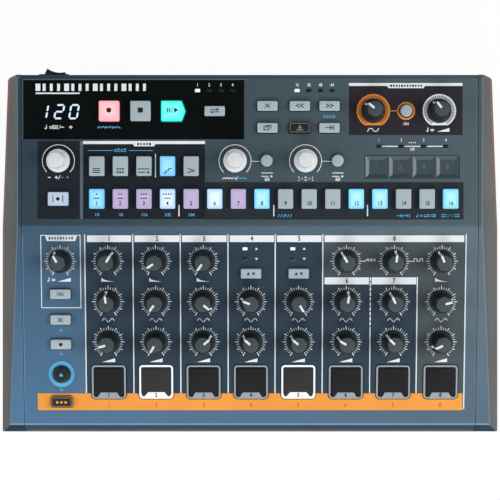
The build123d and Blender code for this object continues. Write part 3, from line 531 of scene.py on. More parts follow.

# printing inks, and the painted highlights and painted shadow drawn like them: colour, and the layer that
# each is printed in
inks = {"printColumn": ((45, 63, 78), 1), "printFm": ((74, 84, 90), 1), "printDark": ((27, 35, 41), 1),
        "printBand": ((38, 45, 50), 1), "printOutput": ((42, 39, 45), 1), "printOrange": ((247, 161, 68), 2),
        "printEdgeLeft": ((116, 146, 178), 2), "printEdgeRight": ((104, 126, 138), 2),
        "printWhite": ((240, 245, 248), 3), "printBlue": ((92, 182, 230), 3),
        "printRing": ((236, 146, 58), 3), "printSheen": ((92, 108, 116), 2), "printInk": ((52, 60, 66), 4),
        "printShadow": ((34, 36, 40), 4), "printBurnt": ((122, 62, 24), 4),
        "printDeepOrange": ((205, 112, 40), 4)}
for name, (shade, _) in inks.items():
    finish(name, shade, rough=(0.42, 0.52), grain=2000, bump=0.003, specular=0.25)
print("finishes ready:", len(finishes))


# pieces
def piece(name, shape, body, looks, replaces=(), smooth=40, place=None):
    if place is not None:
        shape.transform(place)
    mesh = bpy.data.meshes.new(name)
    shape.to_mesh(mesh)
    shape.free()
    for look in looks:
        mesh.materials.append(finishes[look])
    mesh.polygons.foreach_set("use_smooth", [True] * len(mesh.polygons))
    mesh.set_sharp_from_angle(angle=math.radians(smooth))
    made = bpy.data.objects.new(name, mesh)
    scene.collection.objects.link(made)
    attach(made, body)
    if replaces:
        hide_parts(*replaces)


nodeLooks = {"top_panel": "paint", "bottom_case": "case", "left_end_cheek": "cheek",
             "right_end_cheek": "cheek", "display_window": "window", "display_module": "dark",
             "circuit_boards": "board", "pots_and_switches": "parts"}
for node, look in nodeLooks.items():
    mesh = frame["nodes"][node].data
    mesh.materials.clear()
    mesh.materials.append(finishes[look])

# end cheeks: the shelf level with the deck is painted like it, and so are the front faces, which take the
# dark painted shade of the front with it; the narrow bevelled ridge faces get a paler tone, a painted
# highlight; the rest is bare plastic
cheek = {"ridge": 0.4, "longest": 12.0, "angles": (0.2, 1.2), "narrowFace": 0.5}
for node in ("left_end_cheek", "right_end_cheek"):
    shape = mergedCopy(node)
    bmesh.ops.dissolve_limit(shape, angle_limit=math.radians(0.5), use_dissolve_boundaries=False,
                             verts=shape.verts[:], edges=shape.edges[:])
    ridges = [line for line in shape.edges if line.calc_length() > cheek["longest"] * mm and line.is_manifold
              and cheek["angles"][0] < line.calc_face_angle(0) < cheek["angles"][1] and line.is_convex
              and max(face.normal.z for face in line.link_faces) > 0.5]
    bevelled(shape, ridges, cheek["ridge"] * mm, 2)
    for face in shape.faces:
        across = face.calc_area() / max(line.calc_length() for line in face.edges)
        up, forward = face.normal.z, -face.normal.y
        if up > 0.97 or forward > 0.6 and abs(face.normal.x) < 0.2 and up > 0.1:
            face.material_index = 1
        # painted highlight on the narrow ridge faces
        elif across < cheek["narrowFace"] * mm and up > 0.5:
            face.material_index = 2
    piece(camel(node), shape, "chassis", ["cheek", "paint", "ridge"], [node], smooth=30)

# knobs
knob = {"gap": 0.8, "skirtRadius": 7.3, "skirtTop": 2.8, "skirtEdge": 0.45, "grip": 6.3, "sides": 7,
        "corner": 1.2, "top": 13.45, "taper": 3.0, "topEdge": 0.6, "pointerWidth": 1.35, "pointerRise": 0.12,
        "pointerStart": 0.7, "pointerDepth": 0.8, "shaftRadius": 3.0, "shaftFoot": -6.5}
encoder = {**knob, "grip": 5.6, "corner": 0.9, "top": 13.95, "taper": 2.5, "topEdge": 0.7}


def flatRadius(look, height):
    # distance from the axis to the middle of a flat, at a height
    base = look["grip"] * math.cos(math.pi / look["sides"])
    return base - (height - look["skirtTop"]) * math.tan(math.radians(look["taper"]))


def gripShape(look):
    shape = bmesh.new()
    bmesh.ops.create_circle(shape, cap_ends=True, radius=look["grip"], segments=look["sides"],
                            matrix=Matrix.Rotation(math.pi / look["sides"], 4, "Z"))
    roundCorners(shape, shape.verts[:], look["corner"], 3)
    narrow = flatRadius(look, look["top"]) / flatRadius(look, look["skirtTop"])
    raised(shape, look["skirtTop"] - 0.4, look["top"], look["topEdge"], 3, narrow)
    # the flat top takes the paler tone, painted light on the black plastic
    for face in shape.faces:
        if face.normal.z > 0.97 and face.calc_center_median().z > look["top"] - look["topEdge"]:
            face.material_index = 1
    return shape


def skirtShape(look):
    edge, radius, top, foot = look["skirtEdge"], look["skirtRadius"], look["skirtTop"], look["gap"]
    return turned([(0, foot), (radius - 0.2, foot), (radius, foot + 0.2), (radius, top - edge),
                   (radius - 0.3 * edge, top - 0.3 * edge), (radius - edge, top), (0, top)])


def pointerShape(look):
    rise, depth, top, skirt = look["pointerRise"], look["pointerDepth"], look["top"], look["skirtTop"]
    high, low, end = flatRadius(look, top), flatRadius(look, skirt), look["skirtRadius"] - look["skirtEdge"]
    side = [(look["pointerStart"], top - depth), (look["pointerStart"], top + rise),
            (high - 0.35, top + rise), (high + rise, top - 0.35), (low + rise, skirt + rise),
            (end, skirt + rise), (end, skirt - depth), (low - depth, skirt - depth),
            (high - depth, top - depth)]
    shape = bmesh.new()
    shape.faces.new([shape.verts.new((0, y, z)) for y, z in side])
    verts = vertsIn(bmesh.ops.extrude_face_region(shape, geom=shape.faces[:])["geom"])
    bmesh.ops.translate(shape, verts=verts, vec=(look["pointerWidth"], 0, 0))
    return moved(outward(shape), -look["pointerWidth"] / 2)


def knobPiece(name, look, looks, pointed):
    deck, x, s, angle = knobPlace(name)
    whole = gripShape(look)
    add(whole, skirtShape(look), material=4)
    add(whole, disc(look["shaftRadius"], look["shaftFoot"], look["skirtTop"], steps=24), material=3)
    if pointed:
        add(whole, pointerShape(look), material=2)
    piece(camel(name) + "Cap", whole, name, looks, [name], place=on(deck, x, s, 0, angle))


turning = [name.removesuffix("_turn") for name in joints if name.endswith("_turn")]
encoderNames = [name for name in turning if "encoder" in name]
potNames = [name for name in turning if name.endswith("_knob") and name not in encoderNames]
for name in potNames:
    knobPiece(name, knob, ["knob", "knobTop", "pointer", "steel", "knobSkirt"], True)
for name in encoderNames:
    knobPiece(name, encoder, ["white", "white", "white", "steel", "white"], False)
print("knobs:", len(potNames), "encoders:", len(encoderNames))

# pads and their frames
pad = {"row": -98.1, "frame": 21.2, "wall": 1.25, "line": 1.08, "corner": 2.2, "frameTop": 0.9,
       "frameEdge": 0.2, "tabBase": 13.8, "tabTop": 10.4, "tabHeight": 2.7, "tabDepth": 1.6,
       "clearance": 0.3, "top": 1.4, "foot": -4.4, "edge": 0.5, "boardDepth": 9.0, "lit": (2, 5),
       "figure": 2.4, "figureRow": -8.35}
padWall = pad["frame"] / 2 - pad["wall"]


def frameShape():
    base, tip, top = pad["tabBase"] / 2, pad["tabTop"] / 2, pad["frameTop"]
    shape = hollowed(rectangle(pad["frame"], pad["frame"], pad["corner"], 5), pad["line"])
    raised(shape, -pad["boardDepth"], top, pad["frameEdge"], 2)
    edge, inside = -padWall - pad["wall"] / 2, pad["tabHeight"] - padWall
    tab = outline([(-base, edge), (base, edge), (base, -padWall), (tip, inside), (-tip, inside),
                   (-base, -padWall)])
    add(shape, raised(tab, top - pad["tabDepth"], top - 0.005, 0.12, 1))
    return shape


def padShape():
    half, gap = padWall - pad["clearance"], pad["clearance"]
    base, tip, notch = pad["tabBase"] / 2 + gap, pad["tabTop"] / 2 + gap, pad["tabHeight"] - padWall + gap
    shape = outline([(-half, -half), (-base, -half), (-tip, notch), (tip, notch), (base, -half),
                     (half, -half), (half, half), (-half, half)])
    roundCorners(shape, [vert for vert in shape.verts if abs(abs(vert.co.x) - half) < 0.01],
                 pad["corner"] - pad["wall"])
    roundCorners(shape, [vert for vert in shape.verts if abs(vert.co.y - notch) < 0.01], 0.5, 3)
    return raised(shape, pad["foot"], pad["top"], pad["edge"], 3)


frames, litFrames = bmesh.new(), bmesh.new()
padNames = sorted(name for name in frame["nodes"] if name.startswith("pad_") and name[4:].isdigit())
for name in padNames:
    number = name[4:]
    low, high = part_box(name)
    place = on("lower", (decks["lower"].inverted() @ ((low + high) / 2)).x, pad["row"])
    isLit = int(number) in pad["lit"]
    ring = frameShape()
    add(ring, moved(figures(number, pad["figure"], 0, 0.03, bold=0.13), 0, pad["figureRow"],
                    pad["frameTop"] - 0.01), material=1)
    add(litFrames if isLit else frames, ring, place)
    piece(camel(name) + "Rubber", padShape(), name, ["padLitUp" if isLit else "pad"], [name],
          place=place)
piece("padFrames", frames, "chassis", ["padFrame", "ink"], ["pad_light_frames"])
piece("padFramesLit", litFrames, "chassis", ["litPad", "ink"], ["pad_light_frames"])
print("pads:", len(padNames))


# keys
def islandsOf(node, deck):
    # the separate solids of a node, as boxes in the deck's millimetres, from left to right
    shape = mergedCopy(node, 1e-6)
    shape.transform(decks[deck].inverted())
    unseen, boxes = set(shape.verts), []
    for vert in shape.verts:
        if vert not in unseen:
            continue
        unseen.remove(vert)
        queue, spots = [vert], []
        while queue:
            current = queue.pop()
            spots.append(current.co.copy())
            near = {line.other_vert(current) for line in current.link_edges} & unseen
            unseen -= near
            queue += near
        boxes.append([Vector([pick(spot[axis] for spot in spots) for axis in range(3)])
                      for pick in (min, max)])
    shape.free()
    return sorted(boxes, key=lambda box: box[0].x)


def keyCentre(box):
    low, high = box
    return (low.x + high.x) / 2, (low.y + high.y) / 2


key = {"lip": 0.8, "lipTop": -1.8, "lipBottom": -2.8, "stemRadius": 1.7, "stemFoot": -6.6, "edge": 0.45,
       "corner": 0.8, "crown": 0.14, "rings": 5, "ink": 0.03, "stepRise": 3.0, "functionRise": 2.4,
       "playTip": 2.6, "slim": (0.15, 0.22), "mark": (-0.1, 0.1)}
lipIndex = 9  # marks the lip's faces until they get their look


def crowned(shape, top, halfWidth, halfLength):
    # the top of a key rises softly to its middle; "glow" runs from 1 there to 0 at the rim
    face = max((face for face in shape.faces if face.normal.z > 0.99), key=lambda face: face.calc_area())
    middle, rings = face.calc_center_bounds(), key["rings"]
    for left in range(rings, 0, -1):
        # each ring is a smaller copy of the last one, a little higher
        bmesh.ops.inset_individual(shape, faces=[face], thickness=0.001)
        share = (left - 0.6) / (left + 0.4)
        bmesh.ops.scale(shape, verts=face.verts[:], vec=(share, share, 1), space=Matrix.Translation(-middle))
        bmesh.ops.translate(shape, verts=face.verts[:],
                            vec=(0, 0, key["crown"] * (2 * left - 1) / rings ** 2))
    glow = shape.verts.layers.float.new("glow")
    for vert in shape.verts:
        share = max(abs(vert.co.x) / halfWidth, abs(vert.co.y) / halfLength)
        vert[glow] = max(0.0, 1 - share ** 2) if vert.co.z > top - 0.01 else 0.0
    return shape


def held(cap, lip):
    # a lip keeps the cap behind the panel and a stem works its switch
    add(cap, lip, material=lipIndex)
    add(cap, disc(key["stemRadius"], key["stemFoot"], key["lipBottom"], steps=16))
    return cap


def boxKey(width, length, rise, slim=key["slim"]):
    bare = rectangle(width - 2 * slim[0], length - 2 * slim[1], key["corner"])
    cap = crowned(raised(bare, key["lipTop"], rise, key["edge"], 3), rise, width / 2, length / 2)
    return held(cap, plate(width + 2 * key["lip"], length + 2 * key["lip"], key["lipBottom"], key["lipTop"],
                           key["corner"]))


def roundKey(radius, rise):
    cap = crowned(disc(radius, key["lipTop"], rise, key["edge"], 40), rise, radius, radius)
    return held(cap, disc(radius + key["lip"], key["lipBottom"], key["lipTop"]))


def playKey(size, rise):
    def shaped(grow, bottom, top, edge=0.0):
        half, tip = size / 2 + grow, size / 2 + key["playTip"] + 1.4 * grow
        shape = outline([(-half, -half), (half - grow / 2, -half), (tip, 0), (half - grow / 2, half),
                         (-half, half)])
        roundCorners(shape, shape.verts[:], key["corner"])
        return raised(shape, bottom, top, edge, 3)
    cap = crowned(shaped(-0.3, key["lipTop"], rise, key["edge"]), rise, size / 2 + key["playTip"], size / 2)
    return held(cap, shaped(key["lip"], key["lipBottom"], key["lipTop"]))


def dressed(cap, looks, look):
    # gives a bare cap its look, and its lip the shade or the glow of the gap round it
    halo = halos.get(look, "gap")
    for name in (look, halo):
        if name not in looks:
            looks.append(name)
    for face in cap.faces:
        face.material_index = looks.index(halo if face.material_index == lipIndex else look)
    return cap


def engraved(cap, mark, x, y, rise, material=1):
    add(cap, moved(mark, x, y, rise + key["crown"] * 0.5), material=material)


inkReach = -key["crown"], key["crown"] * 0.5 + key["ink"]
step = {"width": 9.6, "length": 12.6, "drop": -2.9, "figure": 2.6, "rule": 3.4, "dotRow": 2.9,
        "looks": {1: "litBlue", 2: "litLilac", 3: "litLilac", 4: "litPale", 5: "litLilac", 6: "litPale",
                  7: "litLilac", 8: "litCyan", 12: "litCyan", 13: "litCyan", 16: "litCyan"}}
rise = key["stepRise"]
for first in (1, 5, 9, 13):
    node = f"step_buttons_{first}_to_{first + 3}"
    group, looks = bmesh.new(), ["keyGrey", "ink"]
    for number, box in enumerate(islandsOf(node, "upper"), first):
        cap = dressed(boxKey(step["width"], step["length"], rise), looks,
                      step["looks"].get(number, "keyGrey"))
        if number <= 4:
            # these four also stand for a pattern: dots over a rule over the number
            engraved(cap, bar((-step["rule"] / 2, 0), (step["rule"] / 2, 0), 0.55, *key["mark"]), 0, 0.3,
                     rise)
            for index in range(number):
                engraved(cap, disc(0.5, *key["mark"], steps=12), (index - (number - 1) / 2) * 1.5,
                         step["dotRow"], rise)
        engraved(cap, figures(str(number), step["figure"], *inkReach, 0.07), 0, step["drop"], rise)
        add(group, cap, on("upper", *keyCentre(box)))
    piece(camel(node), group, node, looks, [node])

# transport keys: look, ink and the marks with their places across the key
transport = {"size": 13.0, "slim": (0.3, 0.3), "markRow": 0.4}
size, mark = transport["size"], key["mark"]
transportKeys = {
    "record": ("litRecord", "inkRed", [(disc(1.55, *mark), 0)]),
    "stop": ("keyGrey", "ink", [(plate(3.1, 3.1, *mark), 0)]),
    "play": ("litPlay", "ink", [(plate(0.6, 2.9, *mark), -2.3), (plate(0.6, 2.9, *mark), -1.1),
                                (bar((-0.5, -1.7), (0.6, 1.7), 0.35, *mark), 0.5),
                                (raised(outline([(0, -1.5), (2.5, 0), (0, 1.5)]), *mark), 1.9)])}
for name, (look, ink, marks) in transportKeys.items():
    node, looks = name + "_button", [look, ink]
    low, high = islandsOf(node, "upper")[0]
    cap = dressed(playKey(size, rise) if name == "play" else boxKey(size, size, rise, transport["slim"]),
                  looks, look)
    for shape, across in marks:
        engraved(cap, shape, across, transport["markRow"], rise)
    piece(camel(node), cap, node, looks, [node],
          place=on("upper", low.x + key["lip"] + size / 2, (low.y + high.y) / 2))

# function keys: what stands on each, by its column and row on the deck
keySigns = {
    "upper": [(-21.9, 71.4, "swap"), (10.8, 74.5, "cross"), (30.9, 74.5, "back"), (49.3, 74.5, "forward"),
              (10.8, 60.9, "double"), (30.9, 60.9, "into"), (49.3, 60.9, "end"), (-119.0, 16.8, "tap"),
              (-95.0, 37.1, "rows"), (-80.37, 37.1, "grid"), (-65.74, 37.1, "track"), (-51.11, 37.1, "step"),
              (-36.48, 37.1, "accent"), (97.0, 71.5, None), (10.4, 40.5, None), (54.4, 40.5, None)],
    "lower": [(-118.2, -42.5, "ON"), (-118.2, -58.6, "cross"), (-118.2, -74.1, "dot"), (-118.2, -93.3, "up"),
              (-118.2, -110.7, "colours"), (0.6, -29.6, "either"), (30.3, -29.6, "either")]}
keyLooks = {"step": ("litBlue", "ink"), "tap": ("litTap", "ink"), "into": ("keyBlack", "inkPale"),
            "colours": ("keyBlack", "printOrange")}
functionKey = {"isWide": 9, "isTall": 11, "tallSign": 3.0, "sign": 2.7, "roundSign": 2.6, "tapSign": 3.8,
               "pen": 0.52, "rim": 0.4, "dot": 0.85, "dotPitch": 2.6}
for deck, spots in keySigns.items():
    node = deck + "_function_buttons"
    group, looks = bmesh.new(), ["keyGrey", "ink"]
    for box in islandsOf(node, deck):
        x, s = keyCentre(box)
        width, length = [extent - 2 * key["lip"] for extent in (box[1] - box[0]).xy]
        label = min(spots, key=lambda spot: math.dist(spot[:2], (x, s)))[2]
        rise, drop = key["functionRise"], 0
        if abs(width - length) < 0.3:
            cap, height = roundKey(width / 2, rise), functionKey["roundSign"]
            look, ink = ("keyBlack", "printBlue") if width > functionKey["isWide"] else ("keyGrey", "ink")
        else:
            height = functionKey["tapSign" if label == "tap" else "sign"]
            if length > functionKey["isTall"]:
                rise, drop = key["stepRise"], step["drop"]
                height = functionKey["tapSign" if label == "tap" else "tallSign"]
            cap = boxKey(width, length, rise)
            look, ink = keyLooks.get(label, ("keyGrey", "ink"))
        dressed(cap, looks, look)
        if ink not in looks:
            looks.append(ink)
        inkIndex = looks.index(ink)
        if look == "keyBlack" and label in keyLooks:
            looks.append("rim")
            rim = border(width - 0.55, length - 0.7, key["corner"], functionKey["rim"], -0.25, -0.02)
            engraved(cap, rim, 0, 0, rise, looks.index("rim"))
        if label == "ON":
            engraved(cap, figures("ON", 2.3, *inkReach, 0.06), 0, 0, rise, inkIndex)
        elif label == "colours":
            for place in (-1, 0, 1):
                dot = disc(functionKey["dot"], *mark, steps=16)
                engraved(cap, dot, place * functionKey["dotPitch"], 0, rise, inkIndex)
        elif label:
            engraved(cap, sign(label, height, *inkReach, functionKey["pen"]), 0, drop, rise, inkIndex)
        add(group, cap, on(deck, x, s))
    piece(camel(node), group, node, looks, [node])
print("keys ready")

# indicator lights: small bevelled lenses over light pipes
light = {"edge": 0.25, "foot": -6.0, "corner": 0.35, "top": 0.2,
         "rows": {"upper": (40, 95), "lower": (-40, -5)},
         "lit": ((-32.6, 84.2), (29.3, 84.2), (-3.13, -14.2), (26.6, -14.2))}
lenses, litLenses = bmesh.new(), bmesh.new()
for deck, (near, far) in light["rows"].items():
    for low, high in islandsOf("indicator_lights", deck):
        x, s = keyCentre((low, high))
        if near < s < far and abs(high.z - light["top"]) < 0.08:
            shape = plate(high.x - low.x, high.y - low.y, light["foot"], high.z, light["corner"],
                          light["edge"], 2, 2)
            glow = shape.verts.layers.float.new("glow")
            for vert in shape.verts:
                vert[glow] = 1.0 if vert.co.z > high.z - 0.05 else 0.0
            isLit = any(math.dist((x, s), spot) < 2 for spot in light["lit"])
            add(litLenses if isLit else lenses, shape, on(deck, x, s))
piece("lightLenses", lenses, "chassis", ["lensOff"], ["indicator_lights"])
piece("lightLensesLit", litLenses, "chassis", ["litWhite"], ["indicator_lights"])

# touch strip: four cells, each with a rim, four wide slopes and a floor
strip = {"cells": 4, "rim": 0.35, "slope": 2.3, "lip": (0.12, 0.05), "dish": 0.9, "foot": -3.0, "figure": 3.4}
low, high = islandsOf("touch_strip", "upper")[0]
width, length = (high - low).xy
shape = bmesh.new()
bmesh.ops.create_grid(shape, x_segments=strip["cells"], y_segments=1, size=0.5)
bmesh.ops.scale(shape, verts=shape.verts, vec=(width, length, 1))
cells, (lipWidth, lipDepth) = shape.faces[:], strip["lip"]
for thickness, depth in ((strip["rim"], 0), (lipWidth, -lipDepth),
                         (strip["slope"] - lipWidth, lipDepth - strip["dish"])):
    bmesh.ops.inset_individual(shape, faces=cells, thickness=thickness, depth=depth, use_even_offset=True)
walls = bmesh.ops.extrude_edge_only(shape, edges=[line for line in shape.edges if line.is_boundary])["geom"]
bmesh.ops.translate(shape, verts=vertsIn(walls), vec=(0, 0, strip["foot"]))
bmesh.ops.holes_fill(shape, edges=[line for line in shape.edges if line.is_boundary], sides=0)
for face in outward(shape).faces:
    isFloor = face.normal.z > 0.99 and face.calc_center_median().z < 0.1 - strip["dish"]
    if isFloor or face.normal.y < -0.15 and face.normal.z > 0.3:
        face.material_index = 2
for index in range(strip["cells"]):
    x = (index + 0.5) * width / strip["cells"] - width / 2
    words = figures(str(2 ** index), strip["figure"], -0.05, 0.02, 0.02)
    add(shape, moved(words, x, -0.3, -strip["dish"]), material=1)
piece("touchStripCells", shape, "chassis", ["strip", "printSheen", "stripFloor"],
      ["touch_strip"], place=on("upper", *keyCentre((low, high))), smooth=12)
print("strip ready")

# printing
layerHeight = 0.012
prints = {name: bmesh.new() for name in inks}


def level(name):
    return -0.03, layerHeight * inks[name][1]


def shapeOn(name, deck, x, s, shape, clockwise=0.0):
    add(prints[name], shape, on(deck, x, s, 0, clockwise))


def printed(name, deck, areas=(), polygons=(), lines=(), marks=(), words=(), rings=(), blocks=(), borders=()):
    # what one ink draws on a deck: areas (left, right, near, far), lines (pen, ends ...),
    # marks (sign, height, pen, spots ...), words (height, boldness, (text, x, s) ...),
    # rings (x, s, inner, outer, start, sweep), blocks (x, s, count, pitch, width, height)
    # and borders (x, s, width, length, corner)
    for left, right, near, far in areas:
        shape = plate(right - left, far - near, *level(name))
        shapeOn(name, deck, (left + right) / 2, (near + far) / 2, shape)
    for points in polygons:
        shapeOn(name, deck, 0, 0, raised(outline(points), *level(name)))
    for pen, *ends in lines:
        for x0, s0, x1, s1 in ends:
            shapeOn(name, deck, 0, 0, bar((x0, s0), (x1, s1), pen, *level(name)))
    for label, height, pen, *spots in marks:
        for x, s in spots:
            shapeOn(name, deck, x, s, sign(label, height, *level(name), pen))
    for height, bold, *texts in words:
        for text, x, s in texts:
            shapeOn(name, deck, x, s, figures(text, height, *level(name), bold))
    for x, s, inner, outer, *span in rings:
        start, sweep = span or (0, 360)
        shapeOn(name, deck, x, s, arc(inner, outer, *level(name), start, sweep, 72))
    for x, s, count, pitch, width, height in blocks:
        # the first block of each four is wider
        for index in range(count):
            block = plate(width * (1 if index % 4 else 1.5), height, *level(name))
            shapeOn(name, deck, x + (index - (count - 1) / 2) * pitch, s, block)
    for x, s, width, length, corner in borders:
        shapeOn(name, deck, x, s, border(width, length, corner, 0.45, *level(name)))


def scaleOn(name, x, s, deck, look):
    # scale marks round a knob, the major ones longer and bolder
    for index in range(look["count"]):
        isMajor = index % look["major"] == 0
        inner, outer = look["inner"], look["outer"] + (look["extra"] if isMajor else 0)
        mark = plate(look["pen"] * (look["bold"] if isMajor else 1), outer - inner, *level(name))
        angle = (index - (look["count"] - 1) / 2) * look["pitch"]
        shapeOn(name, deck, x, s, moved(mark, 0, (inner + outer) / 2), angle)


def row(first, pitch, count):
    return [first + pitch * index for index in range(count)]


# upper deck: the step keys' dark fields with their captions, the window and the output panel
stepX, repeatX, blockX = row(-95.0, 14.63, 16), row(80.1, 13.87, 4), row(-133.2, 4.45, 16)
stepSigns = {8: ("roll", "roll"), 13: ("end", "end"), 14: ("note", "swap", "loop"),
             15: ("grid", "dice", "grid")}
stepMarks = [(label, 1.9, 0.4, (stepX[index] + 4.2 * (place - (len(labels) - 1) / 2), 6.4))
             for index, labels in stepSigns.items() for place, label in enumerate(labels)]
printed("printDark", "upper", areas=[(-132.0, -105.6, 4.35, 52.8), (-103.7, -28.0, 4.35, 51.4)])
printed("printBand", "upper", areas=[(-27.95, 132.6, 4.0, 27.3)])
printed("printOutput", "upper", areas=[(61.5, 132.0, 56.5, 87.2)])
# the lines along the window's top and left edges are a painted highlight
printed("printSheen", "upper", areas=[(-105.6, -103.7, 4.35, 52.8)],
        lines=[(0.4, (-141.2, 90.95, -3.5, 90.95), (-141.2, 54.0, -141.2, 90.95))])
printed("printInk", "upper", blocks=[(-65.8, 50.9, 5, 1.8, 0.85, 1.5), (97.0, 87.1, 12, 1.7, 0.8, 1.5)])
printed("printWhite", "upper",
        areas=[(-103.7, -27.95, 50.9, 52.8), (-133.2, -105.8, 82.0, 82.9), (61.5, 132.0, 87.0, 88.8)]
        + [(x, x + (1.8 if index % 4 else 3.0), 83.9, 88.4) for index, x in enumerate(blockX)],
        polygons=[[(-73.0, 51.2), (-71.9, 49.5), (-59.6, 49.5), (-58.5, 51.2)],
                  [(84.5, 87.4), (86.3, 85.6), (107.5, 85.6), (109.3, 87.4)]],
        lines=[(0.6, (-58.7, 30.6, -58.7, 44.5)),
               (0.7, *[(x, 6.4, x, 12.8) for x in (-44.1, 14.8, 73.0)]),
               (0.35, (-118.5, 60.3, -117.7, 62.5), (-118.9, 29.1, -118.1, 31.3), (-8.7, 28.6, -7.9, 30.8),
                (0.9, 40.2, 6.2, 40.2), (44.9, 40.2, 50.2, 40.2)),
               (0.55, *[(a + 2.4, 49.5, b - 2.4, 49.5) for a, b in zip(repeatX, repeatX[1:])])],
        marks=[("note", 2.5, 0.5, (-124.4, 61.4)), ("rows", 2.2, 0.5, (-121.0, 61.4)),
               ("plusMinus", 2.0, 0.55, (-113.9, 61.4)), ("clipped", 2.2, 0.5, (76.6, 59.7)),
               ("note", 2.3, 0.5, (112.4, 59.7)), ("level", 2.3, 0, (120.0, 59.7)),
               ("beats", 1.2, 0, (100.9, 51.8)), ("loop", 1.6, 0.4, (100.9, 47.6)),
               ("plusMinus", 1.7, 0.55, (-122.5, 30.2)), ("swing", 1.4, 0.5, (-14.9, 29.7), (-10.9, 29.7)),
               ("dice", 2.4, 0, (32.3, 29.4), (36.9, 29.4)), ("track", 3.0, 0.5, (10.6, 31.9), (54.6, 31.9)),
               ("rows", 1.9, 0.4, (10.6, 29.0), (54.6, 29.0))],
        words=[(1.8, 0.05, ("ON", 96.9, 63.4), *zip("1234", repeatX, [53.4] * 4),
                *zip("1 2 3 4 16 32 48 64".split(), row(-32.6, 7.27, 4) + row(29.3, 7.27, 4), [87.6] * 8))],
        rings=[(x, 40.5, 9.75, 10.2, -134, 268) for x in (-119.0, -9.3, 34.5)])
printed("printBlue", "upper",
        lines=[(0.35, (-100.4, 46.9, -85.3, 46.9), (-75.0, 46.9, -60.5, 46.9))],
        marks=[("loop", 2.2, 0.45, (-82.6, 46.9), (-78.6, 46.9)),
               ("forward", 2.1, 0.45, (47.3, 67.9), (51.3, 67.9)), ("plusMinus", 1.3, 0.4, (-115.0, 30.2)),
               ("swing", 1.7, 0.5, (-92.0, 61.4), (-87.6, 61.4), (-83.2, 61.4), (-4.9, 29.7)), *stepMarks],
        words=[(1.9, 0.05, *zip("1/4 1/8 1/16 1/32 1/64".split(), stepX, [6.9] * 5))])
printed("printRing", "upper", rings=[(97.0, 71.5, 4.5, 5.6)], lines=[(0.5, (87.2, 71.5, 91.4, 71.5))])

# the two output scales: broad rings with a flat front and dark marks all the way round
outputScale = {"row": 71.6, "ringInner": 7.75, "ringOuter": 10.4, "open": 60, "count": 41, "pitch": 7.4,
               "inner": 7.95, "outer": 9.5, "extra": 0, "major": 1, "bold": 1, "pen": 0.55}
ringInner, ringOuter, half = outputScale["ringInner"], outputScale["ringOuter"], outputScale["open"] / 2
front = [(-half, ringOuter), (half, ringOuter)]
front += [(half - turn, ringInner) for turn in range(0, outputScale["open"] + 1, 6)]
front = [(math.radians(turn), reach) for turn, reach in front]
for name, x, ink in (("printRing", 76.65, "printBurnt"), ("printWhite", 117.6, "printShadow")):
    s = outputScale["row"]
    printed(name, "upper", rings=[(x, s, ringInner, ringOuter, half - 180, 360 - 2 * half)],
            polygons=[[(x + reach * math.sin(turn), s - reach * math.cos(turn)) for turn, reach in front]])
    scaleOn(ink, x, s, "upper", outputScale)

# lower deck: the channel columns, the pads' second names, and painted highlights along the panel's cut edges
channelX = row(-88.6, 29.73, 8)
edges = [-102.8, -72.9, -43.4, -13.7, 15.7, 45.3, 134.4]
headers = [(-101.4, -73.9), (-71.8, -43.9), (-42.4, -14.6), (-12.6, 14.9), (16.7, 44.45), (46.4, 133.2)]
subHeaders = [(46.5, 74.2), (75.9, 103.6)]
typeLights = [x + 3.4 for x in channelX[3:5]]
padEdges = [-133.4] + [x + side * 10.2 for x in channelX for side in (-1, 1)] + [133.5]
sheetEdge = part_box("top_panel")[1].x / mm - 0.3
printed("printColumn", "lower", areas=[(45.3, 104.3, -105.5, -32.0)]
        + [(left, right, -105.5, -5.4) for left, right in zip(edges[:5], edges[1:])])
printed("printFm", "lower", areas=[(45.3, 134.4, -32.0, -5.4), (104.3, 134.4, -105.5, -32.0)])
printed("printWhite", "lower",
        areas=[(*ends, -10.0, -5.8) for ends in headers] + [(*ends, -36.5, -32.1) for ends in subHeaders],
        polygons=[[(-127.6, -5.6), (-126.3, -9.4), (-108.7, -9.4), (-107.4, -5.6)]],
        lines=[(0.7, (134.4, -5.5, 134.4, -115.2), (104.3, -32.2, 104.3, -105.0),
                *[(x, -5.5, x, -105.0) for x in edges[:-1]]),
               (0.75, *[(75.1, s, 75.1, s - 1.6) for s in row(-32.5, -3.1, 10)]),
               (0.6, (75.1, -63.5, 75.1, -105.0)),
               (0.5, *[(-130.1, s, -105.6, s) for s in (-5.8, -51.2)],
                *[(x, -5.8, x, -51.2) for x in (-130.1, -105.6)])],
        marks=[("up", 1.7, 0, *[(x, -14.2) for x in typeLights]),
               ("down", 1.7, 0, *[(x, -20.5) for x in typeLights])])
printed("printInk", "lower", blocks=[(-117.6, -7.6, 9, 1.75, 0.8, 1.6)],
        borders=[(-118.2, -110.7, 14.3, 7.9, 1.3)],
        words=[(2.9, 0.12, *[(text, sum(ends) / 2, -7.9) for text, ends in zip("123458", headers)],
                *[(text, sum(ends) / 2, -34.3) for text, ends in zip("67", subHeaders)])])
printed("printBlue", "lower", rings=[(-118.2, -93.3, 5.9, 8.1)],
        marks=[("cross", 1.6, 0.4, (-118.3, -65.4), (-118.3, -80.6)), ("into", 1.6, 0.4, (-118.3, -102.8))])
printed("printOrange", "lower", areas=[(-133.4, 133.5, -116.2, -108.3)]
        + [(left, right, -108.3, -105.5) for left, right in zip(padEdges[::2], padEdges[1::2])])
printed("printDeepOrange", "lower", words=[(2.4, 0.13, *zip("12345678", channelX, [-113.0] * 8))])
around = pad["frame"] + 1.3
# painted shadow: a dark border round each pad frame
printed("printShadow", "lower",
        borders=[(x, pad["row"], around, around, pad["corner"] + 0.6) for x in channelX])
# painted highlights: pale lines along both side edges of the panel
printed("printEdgeLeft", "lower", lines=[(0.45, (-sheetEdge, -6.0, -sheetEdge, -117.5))])
printed("printEdgeRight", "lower", lines=[(0.45, (sheetEdge, -6.0, sheetEdge, -117.5))])

